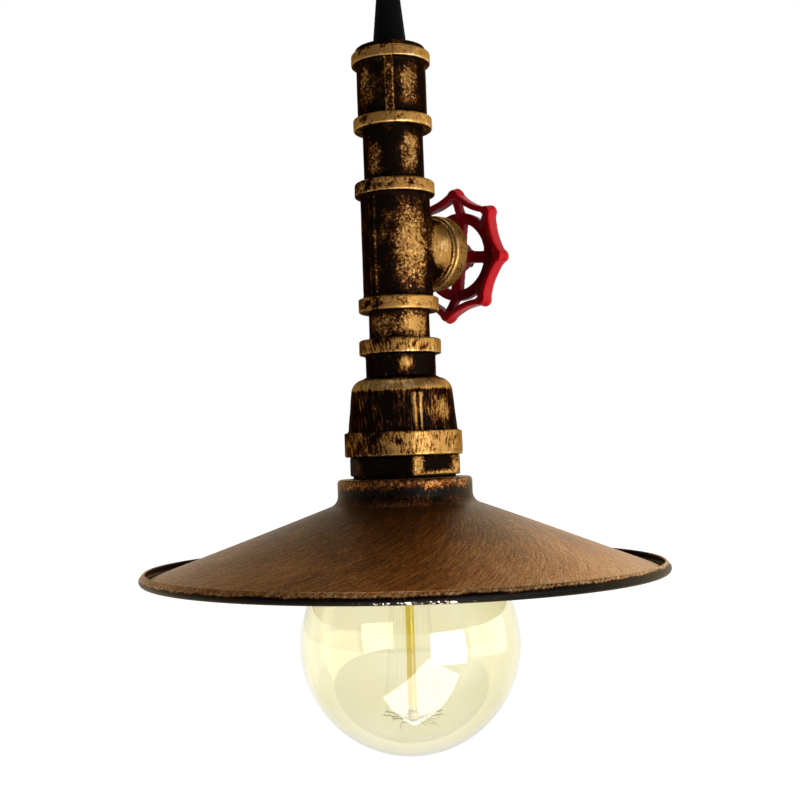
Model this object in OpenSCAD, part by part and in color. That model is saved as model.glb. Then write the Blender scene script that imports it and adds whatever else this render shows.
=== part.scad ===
// Pipe pendant light: screwed pipe fittings, a valve handwheel, a cone shade and a globe bulb.
// Millimetres. The origin is the top of the cord grip on the lamp's axis, +Z up, +X along the tee's branch.

/* [Cord grip] */
// Height of the grip above the plug
grip_h = 23.8; // [18:0.1:32]
// Radius of the grip at its top
grip_top_r = 5.3; // [4.8:0.1:6.2]
// Radius of the grip at its foot
grip_foot_r = 7.6; // [6.8:0.1:9]
// Radius of the cord's bore
cord_r = 3.25; // [2.6:0.05:3.5]
// Radius of the threaded shank
grip_shank_r = 5; // [4.5:0.1:5.8]
// How far the shank stands out below its locknut
grip_shank_spare = 2; // [1:0.1:3]
// Distance of the clamping screw below the grip's top
grip_screw_drop = 11; // [8:0.1:14]
// Radius of the clamping screw
grip_screw_r = 1.5; // [1.2:0.1:1.8]

/* [Top plug] */
// Radius of the plug's flange
plug_r = 15.4; // [14.4:0.1:16.4]
// Thickness of the plug's flange
plug_flange_h = 2.4; // [1.6:0.1:3.2]
// Length of the plug's threaded skirt
plug_skirt_l = 8; // [6:0.1:10]
// Thickness of the plug's floor
plug_floor_h = 5; // [4:0.1:6]

/* [Pipe and fittings] */
// Outer radius of the pipe nipples
pipe_r = 13.2; // [12.6:0.1:13.5]
// Wall of the pipe nipples
pipe_wall = 3; // [2:0.1:3.6]
// Length of nipple inside each fitting
thread_l = 12.5; // [10:0.1:13.5]
// Depth of each socket beyond the end of its nipple
socket_spare = 1; // [0.4:0.1:1.4]
// Outer radius of the fittings' barrels
barrel_r = 15.2; // [14.9:0.1:15.6]
// Bore of the fittings between their sockets
waist_r = 11.6; // [10.8:0.1:12.2]
// Rounding of the bands' outer edges
edge_round = 0.9; // [0.4:0.1:1.2]
// Fillet between a band and its barrel
band_fillet = 1.6; // [0.6:0.1:2.2]
// Length of the coupling
coupling_l = 33.9; // [30:0.1:40]
// Radius of the coupling's bands
coupling_band_r = 17.3; // [16.8:0.1:18]
// Height of the coupling's bands
coupling_band_h = 5; // [4:0.1:6]
// Width of the coupling's two ribs
coupling_rib_w = 3.7; // [2.5:0.1:5]
// Height of the ribs above a barrel
rib_proud = 1.1; // [0.5:0.1:1.5]
// Bare length of the upper nipple
upper_gap = 23; // [15:0.1:40]
// Bare length of the lower nipple
lower_gap = 12; // [8:0.1:30]

/* [Tee] */
// Distance from the tee's centre to either end of its run
tee_half = 28.3; // [26.5:0.1:33]
// Distance from the tee's centre to the end of its branch
branch_l = 29; // [27.5:0.1:34]
// Radius of the run's bands
tee_band_r = 17.5; // [16.8:0.1:18.2]
// Height of the run's bands
tee_band_h = 5.9; // [5:0.1:7]
// Radius of the branch's barrel
branch_r = 14.9; // [14.7:0.1:15.1]
// Radius of the branch's band
branch_band_r = 16.7; // [16.2:0.1:17.6]
// Height of the branch's band
branch_band_h = 7.4; // [6:0.1:8.5]

/* [Valve bonnet] */
// Across flats of the bonnet's head
bonnet_af = 21; // [19:0.5:23]
// Thickness of the bonnet's head
bonnet_head_h = 4; // [3:0.1:5]
// Length of the bonnet inside the branch
bonnet_l = 12; // [10.5:0.1:13]
// Radius of the packing's chamber
gland_r = 6.1; // [5.6:0.1:6.6]
// Depth of the packing's chamber
gland_l = 8; // [7:0.1:9]
// Length of the packing
packing_l = 4; // [3:0.1:5]
// Across flats of the packing nut
packing_nut_af = 14.5; // [14:0.1:16]
// Thickness of the packing nut's head
packing_nut_h = 3.5; // [2.5:0.1:4.5]

/* [Handwheel] */
// Radius of the spindle
spindle_r = 4; // [3.4:0.1:4.4]
// Radius of the spindle's retaining collar
spindle_collar_r = 7; // [6:0.1:8.5]
// Thickness of the spindle's retaining collar
spindle_collar_h = 3.2; // [2:0.1:3.6]
// Side of the spindle's square end
spindle_square = 5; // [4.6:0.1:5.4]
// Radius of the spindle's threaded end
spindle_thread_r = 2.2; // [1.8:0.1:2.3]
// Distance from the packing nut to the hub
hub_gap = 1.5; // [1:0.1:4]
// Radius of the hub
hub_r = 6.5; // [5.6:0.1:7.5]
// Length of the hub
hub_l = 7.6; // [6:0.1:10]
// Thickness of the wheel's rim
wheel_h = 5.8; // [4.5:0.1:7]
// Thickness of the ring, the struts and the spokes
web_h = 3.6; // [2.8:0.1:4.4]
// How far the rim stands back from the spokes, towards the tee
wheel_dish = 5.2; // [2:0.1:6]
// Radius to the tips of the lobes
lobe_tip_r = 29.9; // [28:0.1:32]
// Radius of each rounded lobe
lobe_r = 3; // [2.4:0.1:3.6]
// Number of lobes
lobe_count = 8; // [8:4:8]
// Outer radius of the rim halfway between two lobes
rim_mid_r = 25.9; // [25:0.1:26.6]
// Width of the rim
rim_w = 2.4; // [2:0.1:3]
// Radius of the hollow sides between the lobes
scallop_r = 32; // [28:1:60]
// Inner radius of the ring inside the rim
ring_in_r = 15.7; // [14.5:0.1:16.5]
// Width of the ring inside the rim
ring_w = 4.4; // [3.4:0.1:5]
// Width of the struts from the ring to the lobes
strut_w = 3.4; // [2.6:0.1:4.4]
// Width of the four spokes
spoke_w = 5; // [4:0.1:5.6]
// Angle that the wheel is left turned to
wheel_turn = 7; // [-10:1:10]
// Thickness of the wheel's washer
wheel_washer_h = 1; // [0.6:0.1:1.6]
// Across flats of the wheel's nut
wheel_nut_af = 8; // [7:0.1:9]
// Thickness of the wheel's nut
wheel_nut_h = 3.6; // [3:0.1:5]

/* [Bell reducer] */
// Length of the reducer
reducer_l = 50.3; // [48:0.1:58]
// Radius of the neck's band
neck_band_r = 17.8; // [17.2:0.1:18.4]
// Height of the neck's band
neck_band_h = 6.4; // [5:0.1:7.5]
// Distance from the reducer's top to the start of its shoulder
neck_l = 16.8; // [16.2:0.1:19]
// Radius of the rounded shoulder
shoulder_r = 6; // [5:0.1:7]
// Radius of the bell under its shoulder
bell_top_r = 22; // [21.5:0.1:22.6]
// Radius of the bell above its band
bell_foot_r = 23.6; // [23.3:0.1:24.4]
// Radius of the bell's band
bell_band_r = 25.5; // [24.8:0.1:26.5]
// Height of the bell's band
bell_band_h = 10.4; // [9:0.1:12]
// Wall of the bell
bell_wall = 2.6; // [2.2:0.1:3]
// Width of the bell's two ribs at the top
bell_rib_w = 4.7; // [3.5:0.1:6]
// Width of the bell's two ribs at the foot
bell_rib_foot_w = 2.9; // [2:0.1:4]
// Radius of the screw that locks the hex nipple
lock_screw_r = 1.5; // [1.2:0.1:2]

/* [Hex nipple] */
// Radius of the nipple's threaded ends
hex_shank_r = 20.9; // [20.6:0.1:21]
// Across flats of the nipple's hex
hex_af = 44; // [43:0.1:47]
// Height of the nipple's hex
hex_h = 8.4; // [6:0.1:12]
// Bore of the nipple
hex_bore_r = 17.6; // [17.4:0.1:17.9]
// Length of the nipple's upper end
hex_upper_l = 14; // [11:0.1:14.6]
// Length of the nipple's lower end
hex_lower_l = 11; // [9.5:0.1:14]

/* [Shade] */
// Thickness of the washer between the hex and the shade
shade_washer_h = 1; // [0.6:0.1:2]
// Width of the washer's ring
shade_washer_w = 1.2; // [0.8:0.1:2]
// Thickness of the shade's sheet
sheet = 1; // [0.8:0.1:1.4]
// Radius of the shade's collar
collar_r = 29.2; // [28.6:0.1:34]
// Height of the collar down to the line of the cone
collar_h = 10.4; // [9:0.1:16]
// Outer rounding at the collar's top
collar_round = 1.8; // [1.6:0.1:2.4]
// Rounding between the collar and the cone
collar_fillet = 5; // [3:0.1:7]
// Slope of the cone
cone_slope = 20.2; // [16:0.1:26]
// Outer radius of the shade's lip
shade_r = 112.8; // [90:0.1:140]
// Height of the upturned lip
lip_h = 4.9; // [3.6:0.1:7]
// Inner rounding at the foot of the lip
lip_round = 1; // [0.6:0.1:1.4]
// Lean of the lip towards the lamp's axis
lip_lean = 40; // [0:1:50]
// Thickness of the shade's ring nut
ring_nut_h = 5; // [3.6:0.1:6.5]
// Radius of the shade's ring nut
ring_nut_r = 26; // [24.5:0.1:26.6]
// Number of notches in the ring nut
ring_nut_notches = 6; // [4:1:8]

/* [Lampholder] */
// Radius of the threaded lamp tube
lamp_tube_r = 5; // [4.6:0.1:5.4]
// Bore of the lamp tube
lamp_tube_bore_r = 4; // [3.6:0.1:4.1]
// Thickness of the washer that carries the lamp tube
support_washer_h = 2.5; // [1.6:0.1:3]
// Thickness of the lamp tube's nuts
tube_nut_h = 3; // [2.4:0.1:3.4]
// Across flats of the lamp tube's nuts
tube_nut_af = 14; // [13:0.1:15]
// Distance from the reducer's ledge to the top of the bracket's bridge
holder_drop = 8.6; // [7.5:0.1:9.5]
// Thickness of the bracket's strip
bracket_h = 1.2; // [1:0.1:1.6]
// Clear height under the bracket's bridge
bridge_h = 7; // [6:0.1:8]
// Width of the bracket's strip
bracket_w = 12; // [11:0.1:13]
// Half the clear width under the bracket's bridge
bridge_half = 8.4; // [8.2:0.1:8.8]
// Radius of the bracket's and terminals' screws
screw_r = 1.5; // [1.2:0.1:1.6]
// Radius of the lampholder's body
holder_r = 17; // [16.8:0.1:17.2]
// Thickness of the lampholder's roof
holder_roof_h = 6; // [5:0.1:7]
// Wall of the screw shell
shell_wall = 0.6; // [0.4:0.1:0.8]
// Thickness of the centre contact's strip
contact_strip = 0.5; // [0.4:0.1:0.7]
// How far the centre contact springs down from the roof
contact_drop = 2.5; // [1.8:0.1:3.2]

/* [Bulb] */
// Radius of the globe
bulb_r = 47.5; // [40:0.5:55]
// Overall length of the bulb
bulb_l = 137.5; // [124:0.5:165]
// Thickness of the glass
glass = 0.9; // [0.6:0.1:1.4]
// Radius of the cap's thread
cap_r = 13.1; // [12.7:0.05:13.1]
// Length of the cap with its contact
cap_l = 27; // [25:0.1:28]
// Wall of the cap
cap_wall = 0.5; // [0.4:0.1:0.7]
// Radius of the glass neck
bulb_neck_r = 14.2; // [13.9:0.1:15]
// Rounding between the neck and the globe
bulb_shoulder_r = 14; // [8:0.5:24]
// Radius of the centre contact on the cap
bulb_contact_r = 4.5; // [3.5:0.1:5]
// Radius of the glass rod
rod_r = 1.95; // [1.5:0.05:2.4]
// Height of the rod's foot above the bottom of the globe
rod_foot = 13.5; // [10:0.5:30]
// Radius of the support and lead wires
wire_r = 0.15; // [0.1:0.05:0.3]
// Number of support wires at the rod's foot
anchor_count = 10; // [6:1:12]
// Reach of the lower support wires
anchor_reach = 13; // [10:0.5:18]
// Reach of the upper support wires
crown_reach = 9; // [7:0.5:11]
// Height of the filament's cage
cage_h = 52; // [40:0.5:56]
// Radius of the filament
filament_r = 0.08; // [0.06:0.02:0.16]

/* [Clearances] */
// Radial clearance of each screwed joint
thread_gap = 0.1; // [0.05:0.01:0.2]
// Radial clearance of the spindle in its bore
running_gap = 0.05; // [0.02:0.01:0.09]
// Clearance between pieces that move past each other
free_gap = 0.3; // [0.3:0.05:0.5]

/* [Hidden] */
$fn = 96;

// Finishes
bronze = [0.42, 0.30, 0.14];
dark_bronze = [0.30, 0.21, 0.11];
copper_brown = [0.36, 0.20, 0.10];
red_paint = [0.72, 0.10, 0.10];
black_plastic = [0.05, 0.05, 0.05];
steel = [0.66, 0.67, 0.68];
brass = [0.78, 0.62, 0.30];
porcelain = [0.92, 0.91, 0.87];
amber_glass = [0.95, 0.86, 0.50, 0.35];

// Small allowance by which a cutting shape passes the face that it cuts
cut = 0.5;
// Directions of the castings' ribs, the hex and the lock screw round the lamp's axis
front_turn = 222;
coupling_rib_turn = front_turn - 3;
bell_rib_turn = front_turn + 16;
hex_turn = front_turn + 10;

// Heights down the lamp's axis
z_plug_top = -grip_h;
z_coupling_top = z_plug_top - plug_flange_h;
z_coupling_foot = z_coupling_top - coupling_l;
z_tee_top = z_coupling_foot - upper_gap;
z_tee_mid = z_tee_top - tee_half;
z_tee_foot = z_tee_mid - tee_half;
z_reducer_top = z_tee_foot - lower_gap;
z_reducer_foot = z_reducer_top - reducer_l;
z_hex_foot = z_reducer_foot - hex_h;
z_shade_top = z_hex_foot - shade_washer_h;
z_ledge = z_reducer_top - thread_l - support_washer_h;
z_bridge = z_ledge - holder_drop - bracket_h;
z_holder_top = z_bridge - bridge_h;
z_holder_roof = z_holder_top - holder_roof_h;
z_cap_tip = z_holder_roof - contact_drop - free_gap;
z_cap_foot = z_cap_tip - cap_l;
z_bulb_foot = z_cap_tip - bulb_l;
z_globe = z_bulb_foot + bulb_r;

// Radii of the screwed joints
socket_r = pipe_r + thread_gap;
pipe_bore_r = pipe_r - pipe_wall;
bell_socket_r = hex_shank_r + thread_gap;
shell_bore_r = cap_r + free_gap;
shell_r = shell_bore_r + shell_wall;
socket_l = thread_l + socket_spare;
// The branch's bore is a little narrower than the run's
branch_waist_r = waist_r - 0.6;

// Places along the branch
x_bonnet_in = branch_l - bonnet_l;
x_bonnet_out = branch_l + bonnet_head_h;
x_gland_in = x_bonnet_out - gland_l;
x_packing_out = x_gland_in + packing_l;
x_packing_nut_out = x_bonnet_out + packing_nut_h;
x_hub_in = x_packing_nut_out + hub_gap;
x_hub_out = x_hub_in + hub_l;
x_nut_in = x_hub_out + wheel_washer_h;
// Middles of the wheel's spokes and of its rim
x_web = x_hub_out - (web_h + edge_round) / 2;
x_rim = x_web - wheel_dish;

// Points of an arc about c, from angle a to angle b
function arc(c, r, a, b, n = 6) = [for (i = [0:n]) let (t = a + (b - a) * i / n) c + r * [cos(t), sin(t)]];
// Points in the opposite order
function reversed(points) = [for (i = [len(points) - 1:-1:0]) points[i]];
// Points moved along the axis, and turned over first where side is -1
function at_end(points, z, side) = [for (p = points) [p[0], z + side * p[1]]];

// Outline of a fitting's band from its end face, at height zero, down to its barrel
function band(r_band, r_barrel, h, r_inner = edge_round / 2) =
    let (f = min(band_fillet, r_band - r_inner - r_barrel - 0.05))
    concat(arc([r_band - edge_round, -edge_round], edge_round, 90, 0),
        arc([r_band - r_inner, r_inner - h], r_inner, 0, -90, 3),
        arc([r_barrel + f, -h - f], f, 90, 180, 4));

// Radius of a hexagon's corners
function corner_r(af) = af / 2 / cos(30);

module lathe(points) {
    rotate_extrude() polygon(points);
}

module ring(r, r_bore, z_low, z_high) {
    lathe([[r_bore, z_low], [r, z_low], [r, z_high], [r_bore, z_high]]);
}

module hex_ring(af, r_bore, z_low, z_high) {
    difference() {
        translate([0, 0, z_low]) cylinder(r = corner_r(af), h = z_high - z_low, $fn = 6);
        translate([0, 0, z_low - cut]) cylinder(r = r_bore, h = z_high - z_low + 2 * cut);
    }
}

// Children drawn about Z at the origin, laid along the tee's branch
module on_branch() {
    translate([0, 0, z_tee_mid]) rotate([90, 0, 90]) children();
}

// Two opposite ribs on a barrel
module rib_pair(turn, r, w, z_low, z_high) {
    for (side = [0, 180])
        rotate(turn + side)
            translate([r - rib_proud, -w / 2, z_low]) cube([2 * rib_proud, w, z_high - z_low]);
}

// Round wire from a to b
module wire(a, b, r) {
    d = b - a;
    translate(a) rotate([0, acos(d[2] / norm(d)), atan2(d[1], d[0])])
        cylinder(r = r, h = norm(d), $fn = 16);
}

// Cord grip
grip_taper = (grip_foot_r - grip_top_r) / grip_h;
grip_screw_seat = grip_top_r + grip_taper * grip_screw_drop - grip_screw_r / 2;
grip_screw_head_r = grip_screw_r + 0.9;
grip_nut_h = tube_nut_h;
z_plug_under = z_plug_top - plug_floor_h;
z_grip_foot = z_plug_under - grip_nut_h - grip_shank_spare;

// Sideways place of the clamping screw, on the grip's back
module at_grip_screw() {
    translate([0, 0, -grip_screw_drop]) rotate(front_turn + 180) rotate([0, 90, 0]) children();
}

module cord_grip() {
    color(black_plastic) difference() {
        lathe(concat([[cord_r, 0]], arc([grip_top_r - edge_round, -edge_round], edge_round, 90, 0),
            [[grip_foot_r, z_plug_top], [grip_shank_r, z_plug_top], [grip_shank_r, z_grip_foot],
            [cord_r, z_grip_foot]]));
        at_grip_screw() cylinder(r = grip_screw_r + thread_gap, h = grip_foot_r * 2);
        at_grip_screw() translate([0, 0, grip_screw_seat])
            cylinder(r = grip_screw_head_r + thread_gap, h = grip_foot_r);
    }
}

module cord_grip_screw() {
    color(porcelain) at_grip_screw() {
        translate([0, 0, cord_r + free_gap]) cylinder(r = grip_screw_r, h = grip_screw_seat - cord_r);
        translate([0, 0, grip_screw_seat]) cylinder(r = grip_screw_head_r, h = grip_screw_r);
    }
}

module cord_grip_locknut() {
    color(steel) hex_ring(tube_nut_af, grip_shank_r + thread_gap, z_plug_under - grip_nut_h, z_plug_under);
}

// Top plug
plug_skirt_wall = 2.4;

module top_plug() {
    skirt_foot = z_coupling_top - plug_skirt_l;
    color(dark_bronze) lathe(concat([[grip_shank_r + thread_gap, z_plug_top]],
        arc([plug_r - edge_round, z_plug_top - edge_round], edge_round, 90, 0),
        [[plug_r, z_coupling_top], [pipe_r, z_coupling_top], [pipe_r, skirt_foot],
        [pipe_r - plug_skirt_wall, skirt_foot], [pipe_r - plug_skirt_wall, z_plug_under],
        [grip_shank_r + thread_gap, z_plug_under]]));
}

// Coupling and nipples
module pipe_coupling() {
    end = band(coupling_band_r, barrel_r, coupling_band_h);
    color(bronze) {
        lathe(concat([[socket_r, z_coupling_top]], at_end(end, z_coupling_top, 1),
            reversed(at_end(end, z_coupling_foot, -1)),
            [[socket_r, z_coupling_foot], [socket_r, z_coupling_foot + socket_l],
            [waist_r, z_coupling_foot + socket_l], [waist_r, z_coupling_top - socket_l],
            [socket_r, z_coupling_top - socket_l]]));
        rib_pair(coupling_rib_turn, barrel_r, coupling_rib_w,
            z_coupling_foot + coupling_band_h / 2, z_coupling_top - coupling_band_h / 2);
    }
}

module upper_nipple() {
    color(bronze) ring(pipe_r, pipe_bore_r, z_tee_top - thread_l, z_coupling_foot + thread_l);
}

module lower_nipple() {
    color(bronze) ring(pipe_r, pipe_bore_r, z_reducer_top - thread_l, z_tee_foot + thread_l);
}

// Tee
module tee() {
    run_end = band(tee_band_r, barrel_r, tee_band_h);
    branch_end = band(branch_band_r, branch_r, branch_band_h, edge_round);
    color(bronze) difference() {
        union() {
            lathe(concat([[0, z_tee_top]], at_end(run_end, z_tee_top, 1),
                reversed(at_end(run_end, z_tee_foot, -1)), [[0, z_tee_foot]]));
            on_branch()
                lathe(concat([[0, branch_l]], at_end(branch_end, branch_l, 1), [[branch_r, 0], [0, 0]]));
        }
        translate([0, 0, z_tee_foot - cut]) cylinder(r = waist_r, h = 2 * tee_half + 2 * cut);
        translate([0, 0, z_tee_foot - cut]) cylinder(r = socket_r, h = socket_l + cut);
        translate([0, 0, z_tee_top - socket_l]) cylinder(r = socket_r, h = socket_l + cut);
        on_branch() cylinder(r = branch_waist_r, h = branch_l);
        on_branch() translate([0, 0, branch_l - socket_l]) cylinder(r = socket_r, h = socket_l + cut);
    }
}

// Valve bonnet, its packing and its packing nut
module bonnet() {
    color(dark_bronze) on_branch() difference() {
        union() {
            translate([0, 0, x_bonnet_in]) cylinder(r = pipe_r, h = bonnet_l);
            translate([0, 0, branch_l]) cylinder(r = corner_r(bonnet_af), h = bonnet_head_h, $fn = 6);
        }
        translate([0, 0, x_bonnet_in - cut]) cylinder(r = spindle_r + running_gap, h = bonnet_l);
        translate([0, 0, x_gland_in]) cylinder(r = gland_r, h = gland_l + cut);
    }
}

module packing_ring() {
    color(black_plastic) on_branch()
        ring(gland_r - thread_gap, spindle_r + running_gap, x_gland_in, x_packing_out);
}

module packing_nut() {
    color(brass) on_branch() {
        ring(gland_r - thread_gap, spindle_r + free_gap, x_packing_out, x_bonnet_out);
        hex_ring(packing_nut_af, spindle_r + free_gap, x_bonnet_out, x_packing_nut_out);
    }
}

// Spindle and handwheel
nut_spare = 1.4;

module square_end(side, z_low, z_high) {
    translate([-side / 2, -side / 2, z_low]) cube([side, side, z_high - z_low]);
}

module spindle() {
    collar_out = x_bonnet_in - free_gap;
    tip = x_nut_in + wheel_nut_h + nut_spare;
    color(brass) on_branch() rotate(wheel_turn) {
        translate([0, 0, collar_out - spindle_collar_h]) cylinder(r = spindle_collar_r, h = spindle_collar_h);
        translate([0, 0, collar_out]) cylinder(r = spindle_r, h = x_hub_in - collar_out);
        square_end(spindle_square, x_hub_in, x_hub_out - thread_gap);
        translate([0, 0, x_hub_in]) cylinder(r = spindle_thread_r, h = tip - x_hub_in);
    }
}

// Eight places, or the eight half-way places, round the wheel
module round_the_wheel(shift = 0) {
    for (i = [0:lobe_count - 1])
        rotate((i + shift) * 360 / lobe_count) children();
}

// Hollow-sided star with its points cut off at radius r
module star(r, grow) {
    difference() {
        circle(r = r);
        round_the_wheel(0.5) translate([rim_mid_r + scallop_r, 0]) circle(r = scallop_r + grow);
    }
}

module wheel_rim() {
    difference() {
        union() {
            star(lobe_tip_r - lobe_r / 2, 0);
            round_the_wheel() translate([lobe_tip_r - lobe_r, 0]) circle(r = lobe_r);
        }
        star(lobe_tip_r - lobe_r - rim_w / 2, rim_w);
    }
}

// Inner ring with its four spokes
module wheel_web() {
    difference() {
        circle(r = ring_in_r + ring_w);
        circle(r = ring_in_r);
    }
    for (i = [0:3])
        rotate(90 * i) translate([0, -spoke_w / 2]) square([ring_in_r + ring_w / 2, spoke_w]);
}

// Slanting bar from the inner ring out to a lobe
module strut() {
    r_in = ring_in_r + ring_w / 2;
    r_out = lobe_tip_r - lobe_r;
    half = web_h / 2;
    translate([0, strut_w / 2, 0]) rotate([90, 0, 0]) linear_extrude(strut_w)
        polygon([[r_in, x_web - half], [r_out, x_rim - half], [r_out, x_rim + half], [r_in, x_web + half]]);
}

module handwheel() {
    color(red_paint) on_branch() rotate(wheel_turn) difference() {
        union() {
            translate([0, 0, x_rim - wheel_h / 2]) linear_extrude(wheel_h) wheel_rim();
            translate([0, 0, x_web - web_h / 2]) linear_extrude(web_h) wheel_web();
            round_the_wheel() strut();
            translate([0, 0, x_hub_in]) cylinder(r = hub_r, h = hub_l);
        }
        square_end(spindle_square + 2 * thread_gap, x_hub_in - cut, x_hub_out + cut);
    }
}

module wheel_washer() {
    color(steel) on_branch() ring(hub_r - edge_round, spindle_thread_r + thread_gap, x_hub_out, x_nut_in);
}

module wheel_nut() {
    color(steel) on_branch() rotate(wheel_turn)
        hex_ring(wheel_nut_af, spindle_thread_r + thread_gap, x_nut_in, x_nut_in + wheel_nut_h);
}

// Bell reducer
z_shoulder = z_reducer_top - neck_l - shoulder_r;
z_band_top = z_reducer_foot + bell_band_h;
z_bell_socket = z_reducer_foot + hex_upper_l + socket_spare / 2;
shoulder_x = bell_top_r - shoulder_r;
cavity_r = shoulder_r - bell_wall;
ledge_r = waist_r - 1;

module at_lock_screw() {
    translate([0, 0, (z_reducer_foot + z_band_top) / 2]) rotate(front_turn) rotate([0, 90, 0]) children();
}

module reducer() {
    neck = band(neck_band_r, barrel_r, neck_band_h);
    foot = band(bell_band_r, bell_foot_r, bell_band_h);
    color(bronze) difference() {
        union() {
            lathe(concat([[socket_r, z_reducer_top]], at_end(neck, z_reducer_top, 1),
                [[barrel_r, z_shoulder + shoulder_r + edge_round]],
                arc([shoulder_x, z_shoulder], shoulder_r, 80, 0, 10),
                reversed(at_end(foot, z_reducer_foot, -1)),
                [[bell_socket_r, z_reducer_foot], [bell_socket_r, z_bell_socket],
                [bell_socket_r - 0.8, z_bell_socket]],
                arc([shoulder_x, z_shoulder], cavity_r, 0, 90),
                [[ledge_r, z_shoulder + cavity_r], [ledge_r, z_ledge], [socket_r, z_ledge]]));
            bell_ribs();
        }
        at_lock_screw() cylinder(r = lock_screw_r + thread_gap, h = bell_band_r + cut);
    }
}

// Two tapering ribs down the sides of the bell
module bell_ribs() {
    rib_l = z_shoulder - z_band_top + cut;
    lean = atan2(bell_foot_r - bell_top_r, z_shoulder - z_band_top);
    for (side = [0, 180])
        rotate(bell_rib_turn + side)
            translate([bell_top_r - rib_proud, 0, z_shoulder]) rotate([0, 90 - lean, 0])
                linear_extrude(2 * rib_proud)
                    polygon([[0, -bell_rib_w / 2], [rib_l, -bell_rib_foot_w / 2],
                        [rib_l, bell_rib_foot_w / 2], [0, bell_rib_w / 2]]);
}

module lock_screw() {
    socket_af = lock_screw_r;
    tip = bell_socket_r - thread_gap;
    face = bell_band_r - edge_round;
    color(steel) at_lock_screw() difference() {
        translate([0, 0, tip]) cylinder(r = lock_screw_r, h = face - tip);
        translate([0, 0, face - socket_af]) cylinder(r = corner_r(socket_af), h = socket_af + cut, $fn = 6);
    }
}

// Lamp tube and the pieces that carry it
z_washer_top = z_ledge + support_washer_h;
z_tube_top = z_washer_top + 1.5 * tube_nut_h;
z_tube_foot = z_bridge - 1.2 * tube_nut_h;

module support_washer() {
    color(steel) ring(pipe_r, lamp_tube_r + thread_gap, z_ledge, z_washer_top);
}

module lamp_tube() {
    color(steel) ring(lamp_tube_r, lamp_tube_bore_r, z_tube_foot, z_tube_top);
}

module tube_nuts() {
    feet = [z_washer_top, z_ledge - tube_nut_h, z_bridge + bracket_h, z_bridge - tube_nut_h];
    color(steel) for (z = feet)
        hex_ring(tube_nut_af, lamp_tube_r + thread_gap, z, z + tube_nut_h);
}

// Hex nipple and the shade's fixing
z_hex_shank_foot = z_hex_foot - hex_lower_l;

module hex_nipple() {
    length = hex_lower_l + hex_h + hex_upper_l;
    color(dark_bronze) difference() {
        union() {
            translate([0, 0, z_hex_shank_foot]) cylinder(r = hex_shank_r, h = length);
            rotate(hex_turn) translate([0, 0, z_hex_foot]) cylinder(r = corner_r(hex_af), h = hex_h, $fn = 6);
        }
        translate([0, 0, z_hex_shank_foot - cut]) cylinder(r = hex_bore_r, h = length + 2 * cut);
    }
}

module shade_washer() {
    color(black_plastic) ring(bell_socket_r + shade_washer_w, bell_socket_r, z_shade_top, z_hex_foot);
}

module shade_ring_nut() {
    z_high = z_shade_top - sheet;
    notch_w = 4;
    notch_deep = 1.8;
    color(brass) difference() {
        ring(ring_nut_r, bell_socket_r, z_high - ring_nut_h, z_high);
        for (i = [0:ring_nut_notches - 1])
            rotate(i * 360 / ring_nut_notches)
                translate([ring_nut_r - notch_deep, -notch_w / 2, z_high - ring_nut_h - cut])
                    cube([notch_deep + cut, notch_w, ring_nut_h + 2 * cut]);
    }
}

// Shade
z_cone_start = z_shade_top - collar_h;
shade_hole_r = bell_socket_r + thread_gap;
// Middle of the rounding between the collar and the cone
fillet_mid = [collar_r + collar_fillet,
    z_cone_start - collar_fillet * tan(cone_slope) + collar_fillet / cos(cone_slope)];
// Middle of the rounding at the foot of the lip
lip_mid_r = shade_r - sheet - lip_round;
lip_mid = [lip_mid_r, z_cone_start - (lip_mid_r - collar_r) * tan(cone_slope) + lip_round / cos(cone_slope)];
z_shade_foot = lip_mid[1] - lip_round - sheet;

module shade() {
    top_mid = [collar_r - collar_round, z_shade_top - collar_round];
    lip_foot = lip_mid + (lip_round + sheet / 2) * [cos(lip_lean), sin(lip_lean)];
    lip_run = (z_shade_foot + lip_h - sheet / 2 - lip_foot[1]) / cos(lip_lean);
    lip_end = lip_foot + lip_run * [-sin(lip_lean), cos(lip_lean)];
    outside = concat([[shade_hole_r, z_shade_top]], arc(top_mid, collar_round, 90, 0),
        arc(fillet_mid, collar_fillet, 180, 270 - cone_slope, 10),
        arc(lip_mid, lip_round, 270 - cone_slope, 360 + lip_lean, 10));
    inside = concat([[shade_hole_r, z_shade_top - sheet]], arc(top_mid, collar_round - sheet, 90, 0),
        arc(fillet_mid, collar_fillet + sheet, 180, 270 - cone_slope, 10),
        arc(lip_mid, lip_round + sheet, 270 - cone_slope, 360 + lip_lean, 10));
    color(copper_brown)
        lathe(concat(outside, arc(lip_end, sheet / 2, 180 + lip_lean, lip_lean), reversed(inside)));
}

// Lampholder
screw_x = holder_r - 4.6;
terminal_w = 8;
terminal_d = 5;
terminal_h = 5;
screw_l = 5;
screw_head_r = screw_r + 1.2;
screw_head_h = 1.6;
// The terminals stand clear of the bracket's strip, and their screws of the lamp tube's nut
terminal_y = max((bracket_w + terminal_d) / 2 + 1, tube_nut_af / 2 + screw_head_r + free_gap);

module at_bracket_screws() {
    for (side = [-1, 1])
        translate([side * screw_x, 0, z_holder_top]) children();
}

module at_terminals() {
    for (side = [-1, 1])
        translate([0, side * terminal_y, z_holder_top]) children();
}

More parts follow.
